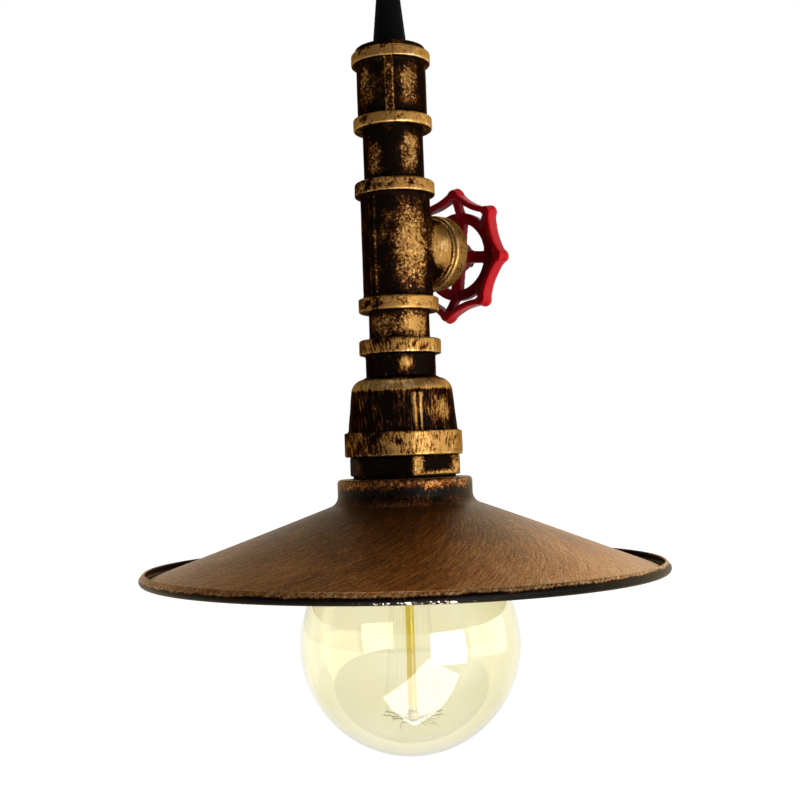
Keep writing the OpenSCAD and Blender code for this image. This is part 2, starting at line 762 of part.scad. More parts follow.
// Bent strip: two feet on the lampholder and a bridge that the lamp tube is nutted to
module holder_bracket() {
    top = bridge_h + bracket_h;
    outer = bridge_half + bracket_h;
    foot = screw_x + screw_head_r + 0.8;
    color(steel) difference() {
        translate([0, bracket_w / 2, z_holder_top]) rotate([90, 0, 0]) linear_extrude(bracket_w)
            difference() {
                union() {
                    translate([-foot, 0]) square([2 * foot, bracket_h]);
                    translate([-outer, 0]) square([2 * outer, top]);
                }
                translate([-bridge_half, -cut]) square([2 * bridge_half, bridge_h + cut]);
            }
        translate([0, 0, z_bridge - cut]) cylinder(r = lamp_tube_r + thread_gap, h = bracket_h + 2 * cut);
        at_bracket_screws() translate([0, 0, -cut])
            cylinder(r = screw_r + thread_gap, h = bracket_h + 2 * cut);
    }
}

module bracket_screws() {
    color(steel) at_bracket_screws() {
        translate([0, 0, bracket_h - screw_l]) cylinder(r = screw_r, h = screw_l);
        translate([0, 0, bracket_h]) cylinder(r = screw_head_r, h = screw_head_h);
    }
}

module lampholder_body() {
    cavity = shell_r + thread_gap;
    rim = holder_r - edge_round;
    color(porcelain) difference() {
        lathe(concat([[0, z_holder_top]], arc([rim, z_holder_top - edge_round], edge_round, 90, 0),
            arc([rim, z_cap_foot + edge_round], edge_round, 0, -90),
            [[cavity, z_cap_foot], [cavity, z_holder_roof], [0, z_holder_roof]]));
        at_bracket_screws() translate([0, 0, -screw_l])
            cylinder(r = screw_r + thread_gap, h = screw_l + cut);
    }
}

module screw_shell() {
    lip = 1.2;
    color(brass) ring(shell_r, shell_bore_r, z_cap_foot + lip, z_holder_roof);
}

// Sprung strip that starts at the roof and bends down to the bulb's contact
module centre_contact() {
    width = 6;
    start = shell_bore_r - 1.5;
    bend = bulb_contact_r + 1;
    rise = contact_drop - contact_strip;
    color(brass) translate([0, width / 2, z_holder_roof]) rotate([90, 0, 0]) linear_extrude(width)
        polygon([[start, 0], [bend, 0], [bend - rise, -rise], [-bulb_contact_r, -rise],
            [-bulb_contact_r, -contact_drop], [bend - rise - contact_strip / 2, -contact_drop],
            [bend - contact_strip / 2, -contact_strip], [start, -contact_strip]]);
}

module terminals() {
    color(brass) at_terminals() difference() {
        translate([-terminal_w / 2, -terminal_d / 2, 0]) cube([terminal_w, terminal_d, terminal_h]);
        translate([0, 0, terminal_h / 2]) cylinder(r = screw_r + thread_gap, h = terminal_h);
        translate([0, terminal_d, terminal_h / 2 - screw_r / 2]) rotate([90, 0, 0])
            cylinder(r = screw_r, h = 2 * terminal_d);
    }
}

module terminal_screws() {
    color(steel) at_terminals() {
        translate([0, 0, terminal_h / 2 + screw_r]) cylinder(r = screw_r, h = terminal_h / 2 - screw_r);
        translate([0, 0, terminal_h]) cylinder(r = screw_head_r, h = screw_head_h);
    }
}

// Bulb
insulator_l = 7;
contact_h = 2.2;
z_insulator_top = z_cap_tip - 1;
z_cap_top = z_cap_tip - insulator_l;
glass_grip = 6;

module bulb_contact() {
    color(brass) lathe(concat([[0, z_cap_tip]],
        arc([bulb_contact_r - edge_round, z_cap_tip - edge_round], edge_round, 90, 0),
        [[bulb_contact_r, z_cap_tip - contact_h], [0, z_cap_tip - contact_h]]));
}

module bulb_cap_insulator() {
    recess_r = bulb_contact_r + free_gap;
    inner = cap_r - cap_wall - thread_gap;
    foot = z_cap_top - 2;
    floor_z = z_cap_tip - contact_h - free_gap;
    color(black_plastic) lathe([[0, floor_z], [recess_r, floor_z], [recess_r, z_insulator_top],
        [recess_r + 1, z_insulator_top], [inner, z_cap_top], [inner, foot], [0, foot]]);
}

module bulb_cap() {
    top_r = cap_r - cap_wall;
    color(brass) lathe([[top_r, z_cap_top], [cap_r, z_cap_top - cap_wall], [cap_r, z_cap_foot],
        [cap_r - cap_wall, z_cap_foot], [cap_r - cap_wall, z_cap_top - cap_wall]]);
}

// The rounding of the neck is limited by the room between the cap and the globe
neck_room = z_cap_foot - 3 * free_gap - glass - z_globe;
neck_round = min(bulb_shoulder_r,
    (pow(neck_room, 2) - pow(bulb_r, 2) + pow(bulb_neck_r, 2)) / (2 * (bulb_r - bulb_neck_r)));

// Outline of the glass from the cap to the bottom, moved in by d
function glass_outline(d) =
    let (mid_x = bulb_neck_r + neck_round,
        rise = sqrt(pow(bulb_r + neck_round, 2) - pow(mid_x, 2)),
        lean = atan2(rise, mid_x))
    concat([[cap_r - cap_wall - thread_gap - d, z_cap_foot + glass_grip],
        [cap_r - cap_wall - thread_gap - d, z_cap_foot - free_gap - d],
        [bulb_neck_r - d, z_cap_foot - 2 * free_gap - d]],
        arc([mid_x, z_globe + rise], neck_round + d, 180, 180 + lean, 8),
        arc([0, z_globe], bulb_r - d, lean, -90, 32));

module bulb_glass() {
    color(amber_glass) lathe(concat(glass_outline(0), reversed(glass_outline(glass))));
}

// Glass flare, pinched tube and rod inside the bulb
z_rod_foot = z_bulb_foot + rod_foot;
z_crown = z_rod_foot + cage_h;
z_pinch = z_crown + 6;

module bulb_stem() {
    flare_r = cap_r - cap_wall - 2 * thread_gap - glass;
    flare_top = z_cap_foot + glass_grip - 1;
    tube_r = 2 * rod_r;
    button_r = rod_r + 0.8;
    color(amber_glass) lathe(concat([[0, flare_top], [flare_r, flare_top], [flare_r, flare_top - 1]],
        arc([flare_r, flare_top - 1 - flare_r + tube_r], flare_r - tube_r, 90, 180, 8),
        [[tube_r, z_pinch + rod_r], [rod_r, z_pinch], [rod_r, z_rod_foot + 2 * button_r]],
        arc([0, z_rod_foot + button_r], button_r, 40, -90, 8)));
}

// Ends of the support wires, counted round the rod and moved sideways: the crown's stand half a step on
function spread(reach, z, i, aside = 0) =
    let (a = i * 360 / anchor_count + asin(aside / reach)) [reach * cos(a), reach * sin(a), z];
anchor_lift = 2;
z_anchors = z_rod_foot + rod_r;
// The filament hangs a wire's thickness above the support wires, just inside their ends
hook_in = 1;
hook_lift = anchor_lift + wire_r + filament_r;
bend_r = 1.6 * filament_r;
hook_half = wire_r + bend_r + free_gap / 2;
function foot_hook(i, side) = spread(anchor_reach - hook_in, z_anchors + hook_lift, i, side * hook_half);
function crown_hook(i, side) = spread(crown_reach - hook_in, z_crown + hook_lift, i, side * hook_half);

module bulb_anchors() {
    color(steel) for (i = [1:anchor_count - 1]) {
        wire(spread(rod_r + 1, z_anchors, i), spread(anchor_reach, z_anchors + anchor_lift, i), wire_r);
        j = i + 0.5;
        if (i < anchor_count - 1)
            wire(spread(rod_r + wire_r, z_crown, j), spread(crown_reach, z_crown + anchor_lift, j), wire_r);
    }
}

// Two leads from the pinch to the filament's ends
module bulb_lead_wires() {
    color(steel) for (i = [0.5, anchor_count - 0.5])
        wire(spread(1.6 * rod_r, z_pinch + wire_r, i), spread(crown_reach, z_crown + anchor_lift, i), wire_r);
}

// Bends of the one filament wire, which runs up and down between the crown and the foot
filament_path = concat([crown_hook(0.5, 0)],
    [for (i = [1:anchor_count - 1]) each
        [foot_hook(i, -1), foot_hook(i, 1),
        if (i < anchor_count - 1) each [crown_hook(i + 0.5, -1), crown_hook(i + 0.5, 1)]]],
    [crown_hook(anchor_count - 0.5, 0)]);

module bulb_filament() {
    last = len(filament_path) - 1;
    color(dark_bronze) {
        for (i = [0:last - 1]) wire(filament_path[i], filament_path[i + 1], filament_r);
        for (i = [1:last - 1]) translate(filament_path[i]) sphere(r = bend_r, $fn = 16);
    }
}

cord_grip();
cord_grip_screw();
cord_grip_locknut();
top_plug();
pipe_coupling();
upper_nipple();
tee();
bonnet();
packing_ring();
packing_nut();
lower_nipple();
reducer();
lock_screw();
support_washer();
lamp_tube();
tube_nuts();
hex_nipple();
shade_washer();
shade();
shade_ring_nut();
holder_bracket();
bracket_screws();
lampholder_body();
screw_shell();
centre_contact();
terminals();
terminal_screws();
spindle();
handwheel();
wheel_washer();
wheel_nut();
bulb_contact();
bulb_cap();
bulb_cap_insulator();
bulb_glass();
bulb_stem();
bulb_lead_wires();
bulb_anchors();
bulb_filament();
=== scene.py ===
import math

import bmesh
import bpy
import numpy as np
from mathutils import Matrix, Quaternion, Vector


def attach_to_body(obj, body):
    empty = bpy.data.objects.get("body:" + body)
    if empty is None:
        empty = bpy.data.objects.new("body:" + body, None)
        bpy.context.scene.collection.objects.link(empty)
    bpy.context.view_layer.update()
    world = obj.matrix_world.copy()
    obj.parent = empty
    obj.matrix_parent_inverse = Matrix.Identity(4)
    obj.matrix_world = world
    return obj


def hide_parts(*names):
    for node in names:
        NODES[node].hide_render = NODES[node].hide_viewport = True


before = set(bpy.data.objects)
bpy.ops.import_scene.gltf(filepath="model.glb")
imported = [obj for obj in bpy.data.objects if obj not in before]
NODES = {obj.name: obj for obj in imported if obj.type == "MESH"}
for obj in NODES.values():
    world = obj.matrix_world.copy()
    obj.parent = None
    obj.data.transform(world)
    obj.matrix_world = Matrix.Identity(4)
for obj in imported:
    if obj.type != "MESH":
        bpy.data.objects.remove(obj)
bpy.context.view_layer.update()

MM = 0.001
# Heights down the lamp's axis in millimetres, as in the solids
PLUG_TOP, PLUG_UNDER, SKIRT_FOOT = -23.8, -28.8, -34.2
COUPLING_TOP, COUPLING_FOOT = -26.2, -60.1
TEE_TOP, TEE_MID, TEE_FOOT = -83.1, -111.4, -139.7
REDUCER_TOP, LEDGE, SHOULDER = -151.7, -166.7, -174.5
BELL_BAND_TOP, REDUCER_FOOT = -191.6, -202.0
HEX_FOOT, SHADE_TOP, CONE_TOP = -210.4, -211.4, -221.8
CAP_TOP, CAP_FOOT, GLOBE_MID, GLOBE_R, ROD_FOOT = -199.3, -219.3, -282.3, 47.5, -316.3
# Radii and depths of the screwed pipe in millimetres, as in the solids
PIPE_R, PIPE_BORE, THREAD_DEEP = 13.2, 10.2, 12.5
SOCKET_R, SOCKET_DEEP, WAIST_R, BARREL_R = 13.3, 13.5, 11.6, 15.2
# Direction from the lamp's axis to the camera, in degrees round the axis
FRONT = 222


# Outlines, in millimetres

def arc(mid, r, a, b, n=6):
    """Points of an arc about mid, from angle a to angle b."""
    turn = [math.radians(a + (b - a) * i / n) for i in range(n + 1)]
    return [(mid[0] + r * math.cos(t), mid[1] + r * math.sin(t)) for t in turn]


def band(r_band, r_barrel, h, r_inner=0.45, edge=0.9):
    """A fitting's band from its end face, at height zero, down to its barrel."""
    fillet = min(1.6, r_band - r_inner - r_barrel - 0.05)
    return (arc((r_band - edge, -edge), edge, 90, 0)
            + arc((r_band - r_inner, r_inner - h), r_inner, 0, -90, 3)
            + arc((r_barrel + fillet, -h - fillet), fillet, 90, 180, 4))


def at_end(points, z, side):
    """An end's outline moved along the axis, and turned over where side is -1."""
    moved = [(r, z + side * dz) for r, dz in points]
    return moved if side > 0 else moved[::-1]


def refined(outline, step, closed):
    """The outline with no stretch longer than step."""
    rows = []
    pairs = list(zip(outline, outline[1:] + outline[:1]))
    for (r0, z0), (r1, z1) in pairs if closed else pairs[:-1]:
        n = max(1, math.ceil(math.hypot(r1 - r0, z1 - z0) / step))
        rows += [(r0 + (r1 - r0) * k / n, z0 + (z1 - z0) * k / n) for k in range(n)]
    return rows if closed else rows + [outline[-1]]


def smooth_step(low, high, x):
    t = np.clip((x - low) / (high - low), 0, 1)
    return t * t * (3 - 2 * t)


def window(x, rise, full, fall, gone):
    """1 from full to fall, easing to 0 at rise and at gone."""
    return smooth_step(rise, full, x) * (1 - smooth_step(fall, gone, x))


def off_angle(a, at):
    """Degrees from the angle at, between -180 and 180."""
    return (a - at + 180) % 360 - 180


def from_front(x, y):
    """The angle of points round the axis, in degrees from the front."""
    return off_angle(np.degrees(np.arctan2(y, x)), FRONT)


def patch(a, z, at, wide, z_mid, z_half):
    """A soft-edged patch on a barrel: 1 in its middle, 0 far from it."""
    return np.exp(-np.abs(off_angle(a, at) / wide) ** 3 - np.abs((z - z_mid) / z_half) ** 3)


def hump(x, at, wide):
    """A bell curve: 1 at its middle, near 0 two widths away."""
    return np.exp(-((x - at) / wide) ** 2)


def wear_and_light_patches(a, z, *patches):
    """Patches added up, of wear and of painted highlight. Each is its angle, half width, middle height,
    half height and strength.
    """
    return sum(much * patch(a, z, at, wide, z_mid, z_half) for at, wide, z_mid, z_half, much in patches)


def lumps(x, y, z, size, seed):
    """Slow unevenness of a casting, between about -1 and 1."""
    waves = 7
    rng = np.random.default_rng(seed)
    total = np.zeros_like(x)
    for _ in range(waves):
        k = rng.normal(size=3)
        k *= 2 * math.pi / size * rng.uniform(0.6, 1.6) / np.linalg.norm(k)
        total += np.sin(k[0] * x + k[1] * y + k[2] * z + rng.uniform(0, 6.3))
    return total / 4


# Mesh helpers

def linked(name, data):
    """A new object in the scene."""
    thing = bpy.data.objects.new(name, data)
    bpy.context.scene.collection.objects.link(thing)
    return thing


def new_piece(mesh, body, finish, replaced):
    """A finished mesh as a piece of the object."""
    piece = linked(mesh.name, mesh)
    mesh.materials.clear()
    mesh.materials.append(finish)
    mesh.shade_smooth()
    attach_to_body(piece, body)
    if replaced:
        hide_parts(*replaced)


def paint(mesh, name, values):
    """A number for each vertex, for the finish to read."""
    layer = mesh.attributes.new(name, "FLOAT", "POINT")
    layer.data.foreach_set("value", np.asarray(values, np.float32).ravel())


def turned(name, outline, turns=288, step=0.7, shape=None, wear_and_light=None, fleck_and_glint=None, uv_radius=None):
    """A turned piece from its closed outline in (radius, height), shaped and painted by angle."""
    rows = np.array(refined(outline, step, True))
    n = len(rows)
    angle = np.linspace(-180, 180, turns, endpoint=False)[:, None]
    true_r = np.repeat(rows[None, :, 0], turns, 0)
    true_z = np.repeat(rows[None, :, 1], turns, 0)
    r, z = shape(angle, true_r, true_z) if shape else (true_r, true_z)
    t = np.radians(angle + FRONT)
    points = np.stack([r * np.cos(t), r * np.sin(t), z], -1).reshape(-1, 3) * MM
    j, i = np.meshgrid(np.arange(turns), np.arange(n), indexing="ij")
    j, i = j.ravel(), i.ravel()
    corners = [(j, i), (j, i + 1), (j + 1, i + 1), (j + 1, i)]
    faces = np.stack([(cj % turns) * n + ci % n for cj, ci in corners], -1)
    mesh = bpy.data.meshes.new(name)
    mesh.from_pydata(points.tolist(), [], faces.tolist())
    if wear_and_light:
        paint(mesh, "wear_and_light", wear_and_light(angle, true_r, true_z) + 0 * r)
    if fleck_and_glint:
        paint(mesh, "fleck_and_glint", fleck_and_glint(angle, true_r, true_z))
    if uv_radius:
        run = np.concatenate([[0], np.cumsum(np.hypot(*np.diff(rows, axis=0).T))])
        run = np.append(run, run[-1])
        around = 2 * math.pi * uv_radius / turns
        uv = np.stack([np.stack([cj * around, run[ci]], -1) for cj, ci in corners], 1)
        mesh.uv_layers.new(name="turn").data.foreach_set("uv", (uv * MM).astype(np.float32).ravel())
    mesh.set_sharp_from_angle(angle=math.radians(48))
    return mesh


def close_poles(mesh):
    """Joins the points that a turned outline leaves on the axis."""
    work = bmesh.new()
    work.from_mesh(mesh)
    bmesh.ops.remove_doubles(work, verts=work.verts, dist=1e-7)
    work.to_mesh(mesh)
    work.free()


def solid_copy(node, name):
    """A merged copy of a CAD node's mesh, with its flat faces whole."""
    mesh = NODES[node].data.copy()
    mesh.name = name
    work = bmesh.new()
    work.from_mesh(mesh)
    bmesh.ops.remove_doubles(work, verts=work.verts, dist=1e-6)
    bmesh.ops.dissolve_limit(work, angle_limit=math.radians(0.5), verts=work.verts, edges=work.edges)
    work.to_mesh(mesh)
    work.free()
    for layer in list(mesh.uv_layers):
        mesh.uv_layers.remove(layer)
    return mesh


def finished_mesh(mesh, *modifiers):
    """The mesh that modifiers make of a mesh. Each is its kind and its settings."""
    holder = linked("holder", mesh)
    for kind, settings in modifiers:
        modifier = holder.modifiers.new(kind, kind)
        for key, value in settings.items():
            setattr(modifier, key, value)
    return evaluated(holder)


def evaluated(holder):
    """The plain mesh that a holder's modifiers make, under the name of its first mesh, which goes."""
    bpy.context.view_layer.update()
    made = bpy.data.meshes.new_from_object(holder.evaluated_get(bpy.context.evaluated_depsgraph_get()))
    first = holder.data
    name = first.name
    holder.modifiers.clear()
    bpy.data.objects.remove(holder)
    bpy.data.meshes.remove(first)
    made.name = name
    return made


def bevelled(node, name, width):
    """A CAD node with its sharp edges rounded."""
    sharp = math.radians(40)
    edge = dict(width=width * MM, segments=3, limit_method="ANGLE", angle_limit=sharp)
    mesh = finished_mesh(solid_copy(node, name), ("BEVEL", edge))
    mesh.set_sharp_from_angle(angle=sharp)
    return mesh


def vectors_of(mesh, kind):
    """The co or the normal of each vertex."""
    values = np.zeros(len(mesh.vertices) * 3)
    mesh.vertices.foreach_get(kind, values)
    return values.reshape(-1, 3)


def points_of(mesh):
    return vectors_of(mesh, "co") / MM


def set_points(mesh, points):
    mesh.vertices.foreach_set("co", (points * MM).astype(np.float32).ravel())
    mesh.update()


# Geometry Nodes

def wire_tree(name, **sizes):
    """A Geometry Nodes tree with a named input for each size, and its input and output nodes."""
    tree = bpy.data.node_groups.new(name, "GeometryNodeTree")
    tree.interface.new_socket("Geometry", in_out="INPUT", socket_type="NodeSocketGeometry")
    tree.interface.new_socket("Geometry", in_out="OUTPUT", socket_type="NodeSocketGeometry")
    for size, kind in sizes.items():
        tree.interface.new_socket(size.replace("_", " "), in_out="INPUT", socket_type="NodeSocket" + kind)
    return tree, tree.nodes.new("NodeGroupInput").outputs, tree.nodes.new("NodeGroupOutput").inputs


def drawn(tree, path, radius, sides=6):
    """A round wire along a path."""
    ring = add(tree, "GeometryNodeCurvePrimitiveCircle", {"Resolution": sides, "Radius": radius})
    wire = add(tree, "GeometryNodeCurveToMesh",
               {"Curve": path, "Profile Curve": ring.outputs["Curve"], "Fill Caps": True})
    return wire.outputs["Mesh"]


def end_tree(tree, geometry, finish, result):
    """Real meshes in place of instances, with their finish."""
    real = add(tree, "GeometryNodeRealizeInstances", {"Geometry": geometry}).outputs["Geometry"]
    dressed = add(tree, "GeometryNodeSetMaterial", {"Geometry": real, "Material": finish})
    tree.links.new(dressed.outputs["Geometry"], result["Geometry"])


def grown(tree, start, **sizes):
    """The plain mesh that a tree makes of a mesh."""
    holder = linked("holder", start)
    modifier = holder.modifiers.new("grow", "NODES")
    modifier.node_group = tree
    named = {item.name: item.identifier for item in tree.interface.items_tree if item.in_out == "INPUT"}
    for size, value in sizes.items():
        modifier[named[size.replace("_", " ")]] = value
    return evaluated(holder)


# Distances to solids, for castings with blended corners

def outline_distance(r, z, outline):
    """Signed distance from points in (radius, height) to a closed outline, negative inside."""
    best = np.full(r.shape, 1e9)
    inside = np.zeros(r.shape, bool)
    for (r0, z0), (r1, z1) in zip(outline, outline[1:] + outline[:1]):
        dr, dz = r1 - r0, z1 - z0
        length = dr * dr + dz * dz
        if length < 1e-12:
            continue
        t = np.clip(((r - r0) * dr + (z - z0) * dz) / length, 0, 1)
        best = np.minimum(best, (r - r0 - t * dr) ** 2 + (z - z0 - t * dz) ** 2)
        if abs(dz) > 1e-12:
            crosses = (z0 > z) != (z1 > z)
            inside ^= crosses & (r < r0 + (z - z0) * dr / dz)
    return np.where(inside, -1, 1) * np.sqrt(best)


def blend(a, b, k):
    """Union of two solids with a fillet of about k between them."""
    h = np.maximum(k - np.abs(a - b), 0) / k
    return np.minimum(a, b) - h * h * k / 4


def settled(points, distance):
    """Points moved onto the surface where the distance is zero."""
    rounds, step, furthest, least_slope = 3, 0.05, 0.6, 0.25
    for _ in range(rounds):
        d = distance(points)
        slope = np.stack([distance(points + step * e) - d for e in np.eye(3)], -1) / step
        steep = np.maximum((slope ** 2).sum(-1), least_slope)[:, None]
        points = points - np.clip(d, -furthest, furthest)[:, None] * slope / steep
    return points


# Finishes

def add(tree, kind, inputs=None, **settings):
    """A node with its settings, and its inputs set or linked."""
    node = tree.nodes.new(kind)
    for key, value in settings.items():
        setattr(node, key, value)
    for key, value in (inputs or {}).items():
        if isinstance(value, bpy.types.NodeSocket):
            tree.links.new(value, node.inputs[key])
        else:
            node.inputs[key].default_value = value
    return node


def calc(tree, operation, a, b=0.0, c=0.0):
    return add(tree, "ShaderNodeMath", {0: a, 1: b, 2: c}, operation=operation).outputs[0]


def weighted(tree, start, *terms):
    """start plus each term's (value less its middle) times its weight."""
    total = start
    for value, middle, weight in terms:
        part = calc(tree, "MULTIPLY", calc(tree, "SUBTRACT", value, middle), weight)
        total = calc(tree, "ADD", total, part)
    return total


def between(tree, value, low, high, to_low=0.0, to_high=1.0):
    """A value eased from one range to another."""
    ends = {"Value": value, "From Min": low, "From Max": high, "To Min": to_low, "To Max": to_high}
    return add(tree, "ShaderNodeMapRange", ends, interpolation_type="SMOOTHSTEP").outputs["Result"]


def mixed_value(tree, share, a, b):
    return add(tree, "ShaderNodeMix", {0: share, 2: a, 3: b}, data_type="FLOAT").outputs[0]


def mixed(tree, share, a, b):
    return add(tree, "ShaderNodeMix", {0: share, 6: a, 7: b}, data_type="RGBA").outputs[2]


def place(tree, scale=(1, 1, 1), turn=(0, 0, 0), source="Object"):
    """Coordinates on the piece, turned and then stretched along the turned axes."""
    coordinates = add(tree, "ShaderNodeTexCoord").outputs[source]
    turned_to = add(tree, "ShaderNodeMapping", {"Vector": coordinates, "Rotation": turn}).outputs[0]
    return add(tree, "ShaderNodeMapping", {"Vector": turned_to, "Scale": scale}).outputs[0]


def noise(tree, vector, scale, detail=4.0, rough=0.6, twist=0.0):
    values = {"Vector": vector, "Scale": scale, "Detail": detail, "Roughness": rough, "Distortion": twist}
    return add(tree, "ShaderNodeTexNoise", values).outputs[0]


def painted(tree, name):
    """A number that was painted on the piece's vertices."""
    return add(tree, "ShaderNodeAttribute", attribute_name=name).outputs["Fac"]


def dot(tree, a, b):
    return add(tree, "ShaderNodeVectorMath", {0: a, 1: b}, operation="DOT_PRODUCT").outputs["Value"]


def bumped(tree, height, strength, depth):
    values = {"Height": height, "Strength": strength, "Distance": depth}
    return add(tree, "ShaderNodeBump", values).outputs[0]


def new_finish(name, **sockets):
    """A material and its shader, with the plain values set on the shader."""
    material = bpy.data.materials.new(name)
    material.use_nodes = True
    tree = material.node_tree
    shader = tree.nodes["Principled BSDF"]
    for key, value in sockets.items():
        shader.inputs[key.replace("_", " ")].default_value = value
    return material, tree, shader


def attach(tree, shader, **sockets):
    for key, value in sockets.items():
        tree.links.new(value, shader.inputs[key.replace("_", " ")])


def rgb(r, g, b):
    """A colour as it looks on screen, from 0 to 255, made linear."""
    linear = [(c / 255 / 12.92) if c <= 10 else ((c / 255 + 0.055) / 1.055) ** 2.4 for c in (r, g, b)]
    return (*linear, 1.0)


BLACKENED = rgb(19, 13, 9)
BROWNED = rgb(88, 47, 19)
GOLD = rgb(167, 124, 65)
PALE_GOLD = rgb(232, 198, 140)


def rubbed_bronze(name, speckle, streaky, streak_turn=(0, 0, 0)):
    """Blackened bronze with speckled gold where it has been worn back and where highlights are painted,
    black where shade is painted.
    """
    material, tree, shader = new_finish(name, Metallic=1.0, Specular_Tint=(0.5, 0.42, 0.34, 1))
    here = place(tree)
    clouds = noise(tree, here, 170, 3, 0.55)
    specks = noise(tree, here, 850, 4, 0.7)
    grit = noise(tree, here, 3000, 3, 0.6)
    spots = between(tree, noise(tree, here, 560, 5, 0.75), 0.57, 0.65)
    strokes = noise(tree, place(tree, (1, 1, 0.12), streak_turn), 1000, 4, 0.6, 0.3)
    wear_and_light = painted(tree, "wear_and_light")
    fine = weighted(tree, 0.0, (specks, 0.5, 2.6 * speckle), (grit, 0.5, 1.0 * speckle))
    edge, middle = between(tree, wear_and_light, -0.2, 0.4, 0.4, 1.0), between(tree, wear_and_light, 0.72, 0.86, 1.0, 0.6)
    fine = calc(tree, "MULTIPLY", fine, calc(tree, "MULTIPLY", edge, middle))
    level = weighted(tree, wear_and_light, (clouds, 0.5, 1.3), (strokes, 0.5, streaky), (spots, 0.0, -0.5),
                     (fine, 0.0, 1.0))
    brown = between(tree, level, 0.05, 0.5)
    gold = between(tree, level, 0.36, 0.85)
    bright = calc(tree, "MULTIPLY", between(tree, fine, 0.2, 0.6), gold)
    pale = calc(tree, "MAXIMUM", bright, between(tree, level, 1.1, 1.7))
    colour = mixed(tree, pale, mixed(tree, gold, mixed(tree, brown, BLACKENED, BROWNED), GOLD), PALE_GOLD)
    attach(tree, shader, Base_Color=colour,
           Roughness=weighted(tree, between(tree, level, 0.1, 0.8, 0.62, 0.4), (grit, 0.5, 0.2)),
           Normal=bumped(tree, weighted(tree, gold, (grit, 0.5, 0.5), (specks, 0.5, 0.6)), 0.45, 0.0002))
    return material


def brushed_copper(name):
    """The shade's outside: copper-brown, brushed in strokes that sweep outward and round."""
    material, tree, shader = new_finish(name, Metallic=1.0, Specular_Tint=(1.0, 0.84, 0.58, 1),
                                        Coat_Weight=0.36, Coat_IOR=1.2, Coat_Roughness=0.35)
    here = place(tree)
    clouds = noise(tree, here, 34, 3, 0.5)
    grit = noise(tree, here, 1150, 4, 0.7)
    chips = noise(tree, here, 700, 5, 0.75)
    sweep = math.radians(-37)
    strokes = noise(tree, place(tree, (1300, 55, 1), (0, 0, sweep), "UV"), 1.0, 4, 0.6, 0.2)
    hairs = noise(tree, place(tree, (3200, 130, 1), (0, 0, sweep + 0.14), "UV"), 1.0, 3, 0.6, 0.2)
    wear_and_light = painted(tree, "wear_and_light")
    fleck_and_glint = painted(tree, "fleck_and_glint")
    ragged = calc(tree, "MULTIPLY_ADD", calc(tree, "MINIMUM", fleck_and_glint, 1.0), 4.2, 0.3)
    chipped = calc(tree, "MULTIPLY", calc(tree, "SUBTRACT", chips, 0.5), ragged)
    # Painted glints: near-white spots where the flecks are strongest, at the front of the lip's foot,
    # partly chipped paint.
    chips_and_glints = calc(tree, "MULTIPLY", between(tree, chips, 0.53, 0.6), between(tree, fleck_and_glint, 1.1, 1.8))
    level = weighted(tree, wear_and_light, (clouds, 0.5, 0.45), (strokes, 0.5, 1.15), (hairs, 0.5, 1.35),
                     (grit, 0.5, 1.4), (chipped, 0.0, 1.0))
    brown = between(tree, level, -0.1, 0.35)
    copper = between(tree, level, 0.25, 0.85)
    worn = between(tree, level, 1.15, 1.5)
    colour = mixed(tree, brown, rgb(8, 6, 5), rgb(84, 43, 11))
    colour = mixed(tree, copper, colour, rgb(172, 108, 44))
    # A paler tan at high levels, which also paints the sheen on the cone's sides.
    colour = mixed(tree, between(tree, level, 0.75, 1.05), colour, rgb(178, 140, 102))
    colour = mixed(tree, worn, colour, rgb(238, 198, 136))
    grains = between(tree, weighted(tree, grit, (hairs, 0.5, 0.7)), 0.25, 0.55, 1.0, 0.0)
    colour = mixed(tree, calc(tree, "MULTIPLY", grains, copper), colour, rgb(70, 42, 22))
    colour = mixed(tree, chips_and_glints, colour, rgb(252, 240, 214))
    attach(tree, shader, Base_Color=colour,
           Roughness=weighted(tree, between(tree, level, 0.0, 0.9, 0.54, 0.4), (strokes, 0.5, 0.25)),
           Normal=bumped(tree, weighted(tree, strokes, (hairs, 0.5, 0.8), (grit, 0.5, 0.5)), 0.2, 0.00012))
    return material


def red_enamel(name):
    """Satin red paint over a rough casting."""
    material, tree, shader = new_finish(name, Specular_IOR_Level=0.16, Specular_Tint=(1.0, 0.35, 0.35, 1))
    here = place(tree)
    clouds = noise(tree, here, 160, 3, 0.5)
    skin = noise(tree, here, 900, 4, 0.6)
    grit = noise(tree, here, 3000, 3, 0.6)
    wear_and_light = painted(tree, "wear_and_light")
    # Darker red where the wheel's painted shade lies, brighter on its rim.
    clean = weighted(tree, wear_and_light, (clouds, 0.5, 0.7), (skin, 0.5, 0.8), (grit, 0.5, 0.3))
    colour = mixed(tree, between(tree, clean, 0.0, 0.9), rgb(118, 2, 9), rgb(182, 24, 30))
    dirt = between(tree, weighted(tree, skin, (clouds, 0.5, 0.6)), 0.64, 0.8)
    attach(tree, shader, Base_Color=mixed(tree, dirt, colour, rgb(52, 4, 8)),
           Roughness=between(tree, skin, 0.3, 0.7, 0.34, 0.52),
           Normal=bumped(tree, weighted(tree, skin, (grit, 0.5, 0.3)), 0.25, 0.0002))
    return material


def plain_metal(name, colour, worn, rough, metallic=1.0):
    """Bare or plated metal with fine tool marks and a little tarnish."""
    material, tree, shader = new_finish(name, Metallic=metallic)
    here = place(tree)
    tarnish = noise(tree, here, 300, 4, 0.6)
    marks = noise(tree, place(tree, (1, 1, 0.1)), 2200, 3, 0.6)
    dulled = between(tree, tarnish, 0.3, 0.7, rough, rough + 0.12)
    attach(tree, shader, Base_Color=mixed(tree, between(tree, tarnish, 0.4, 0.7), colour, worn),
           Roughness=weighted(tree, dulled, (marks, 0.5, 0.2)),
           Normal=bumped(tree, marks, 0.12, 0.00008))
    return material


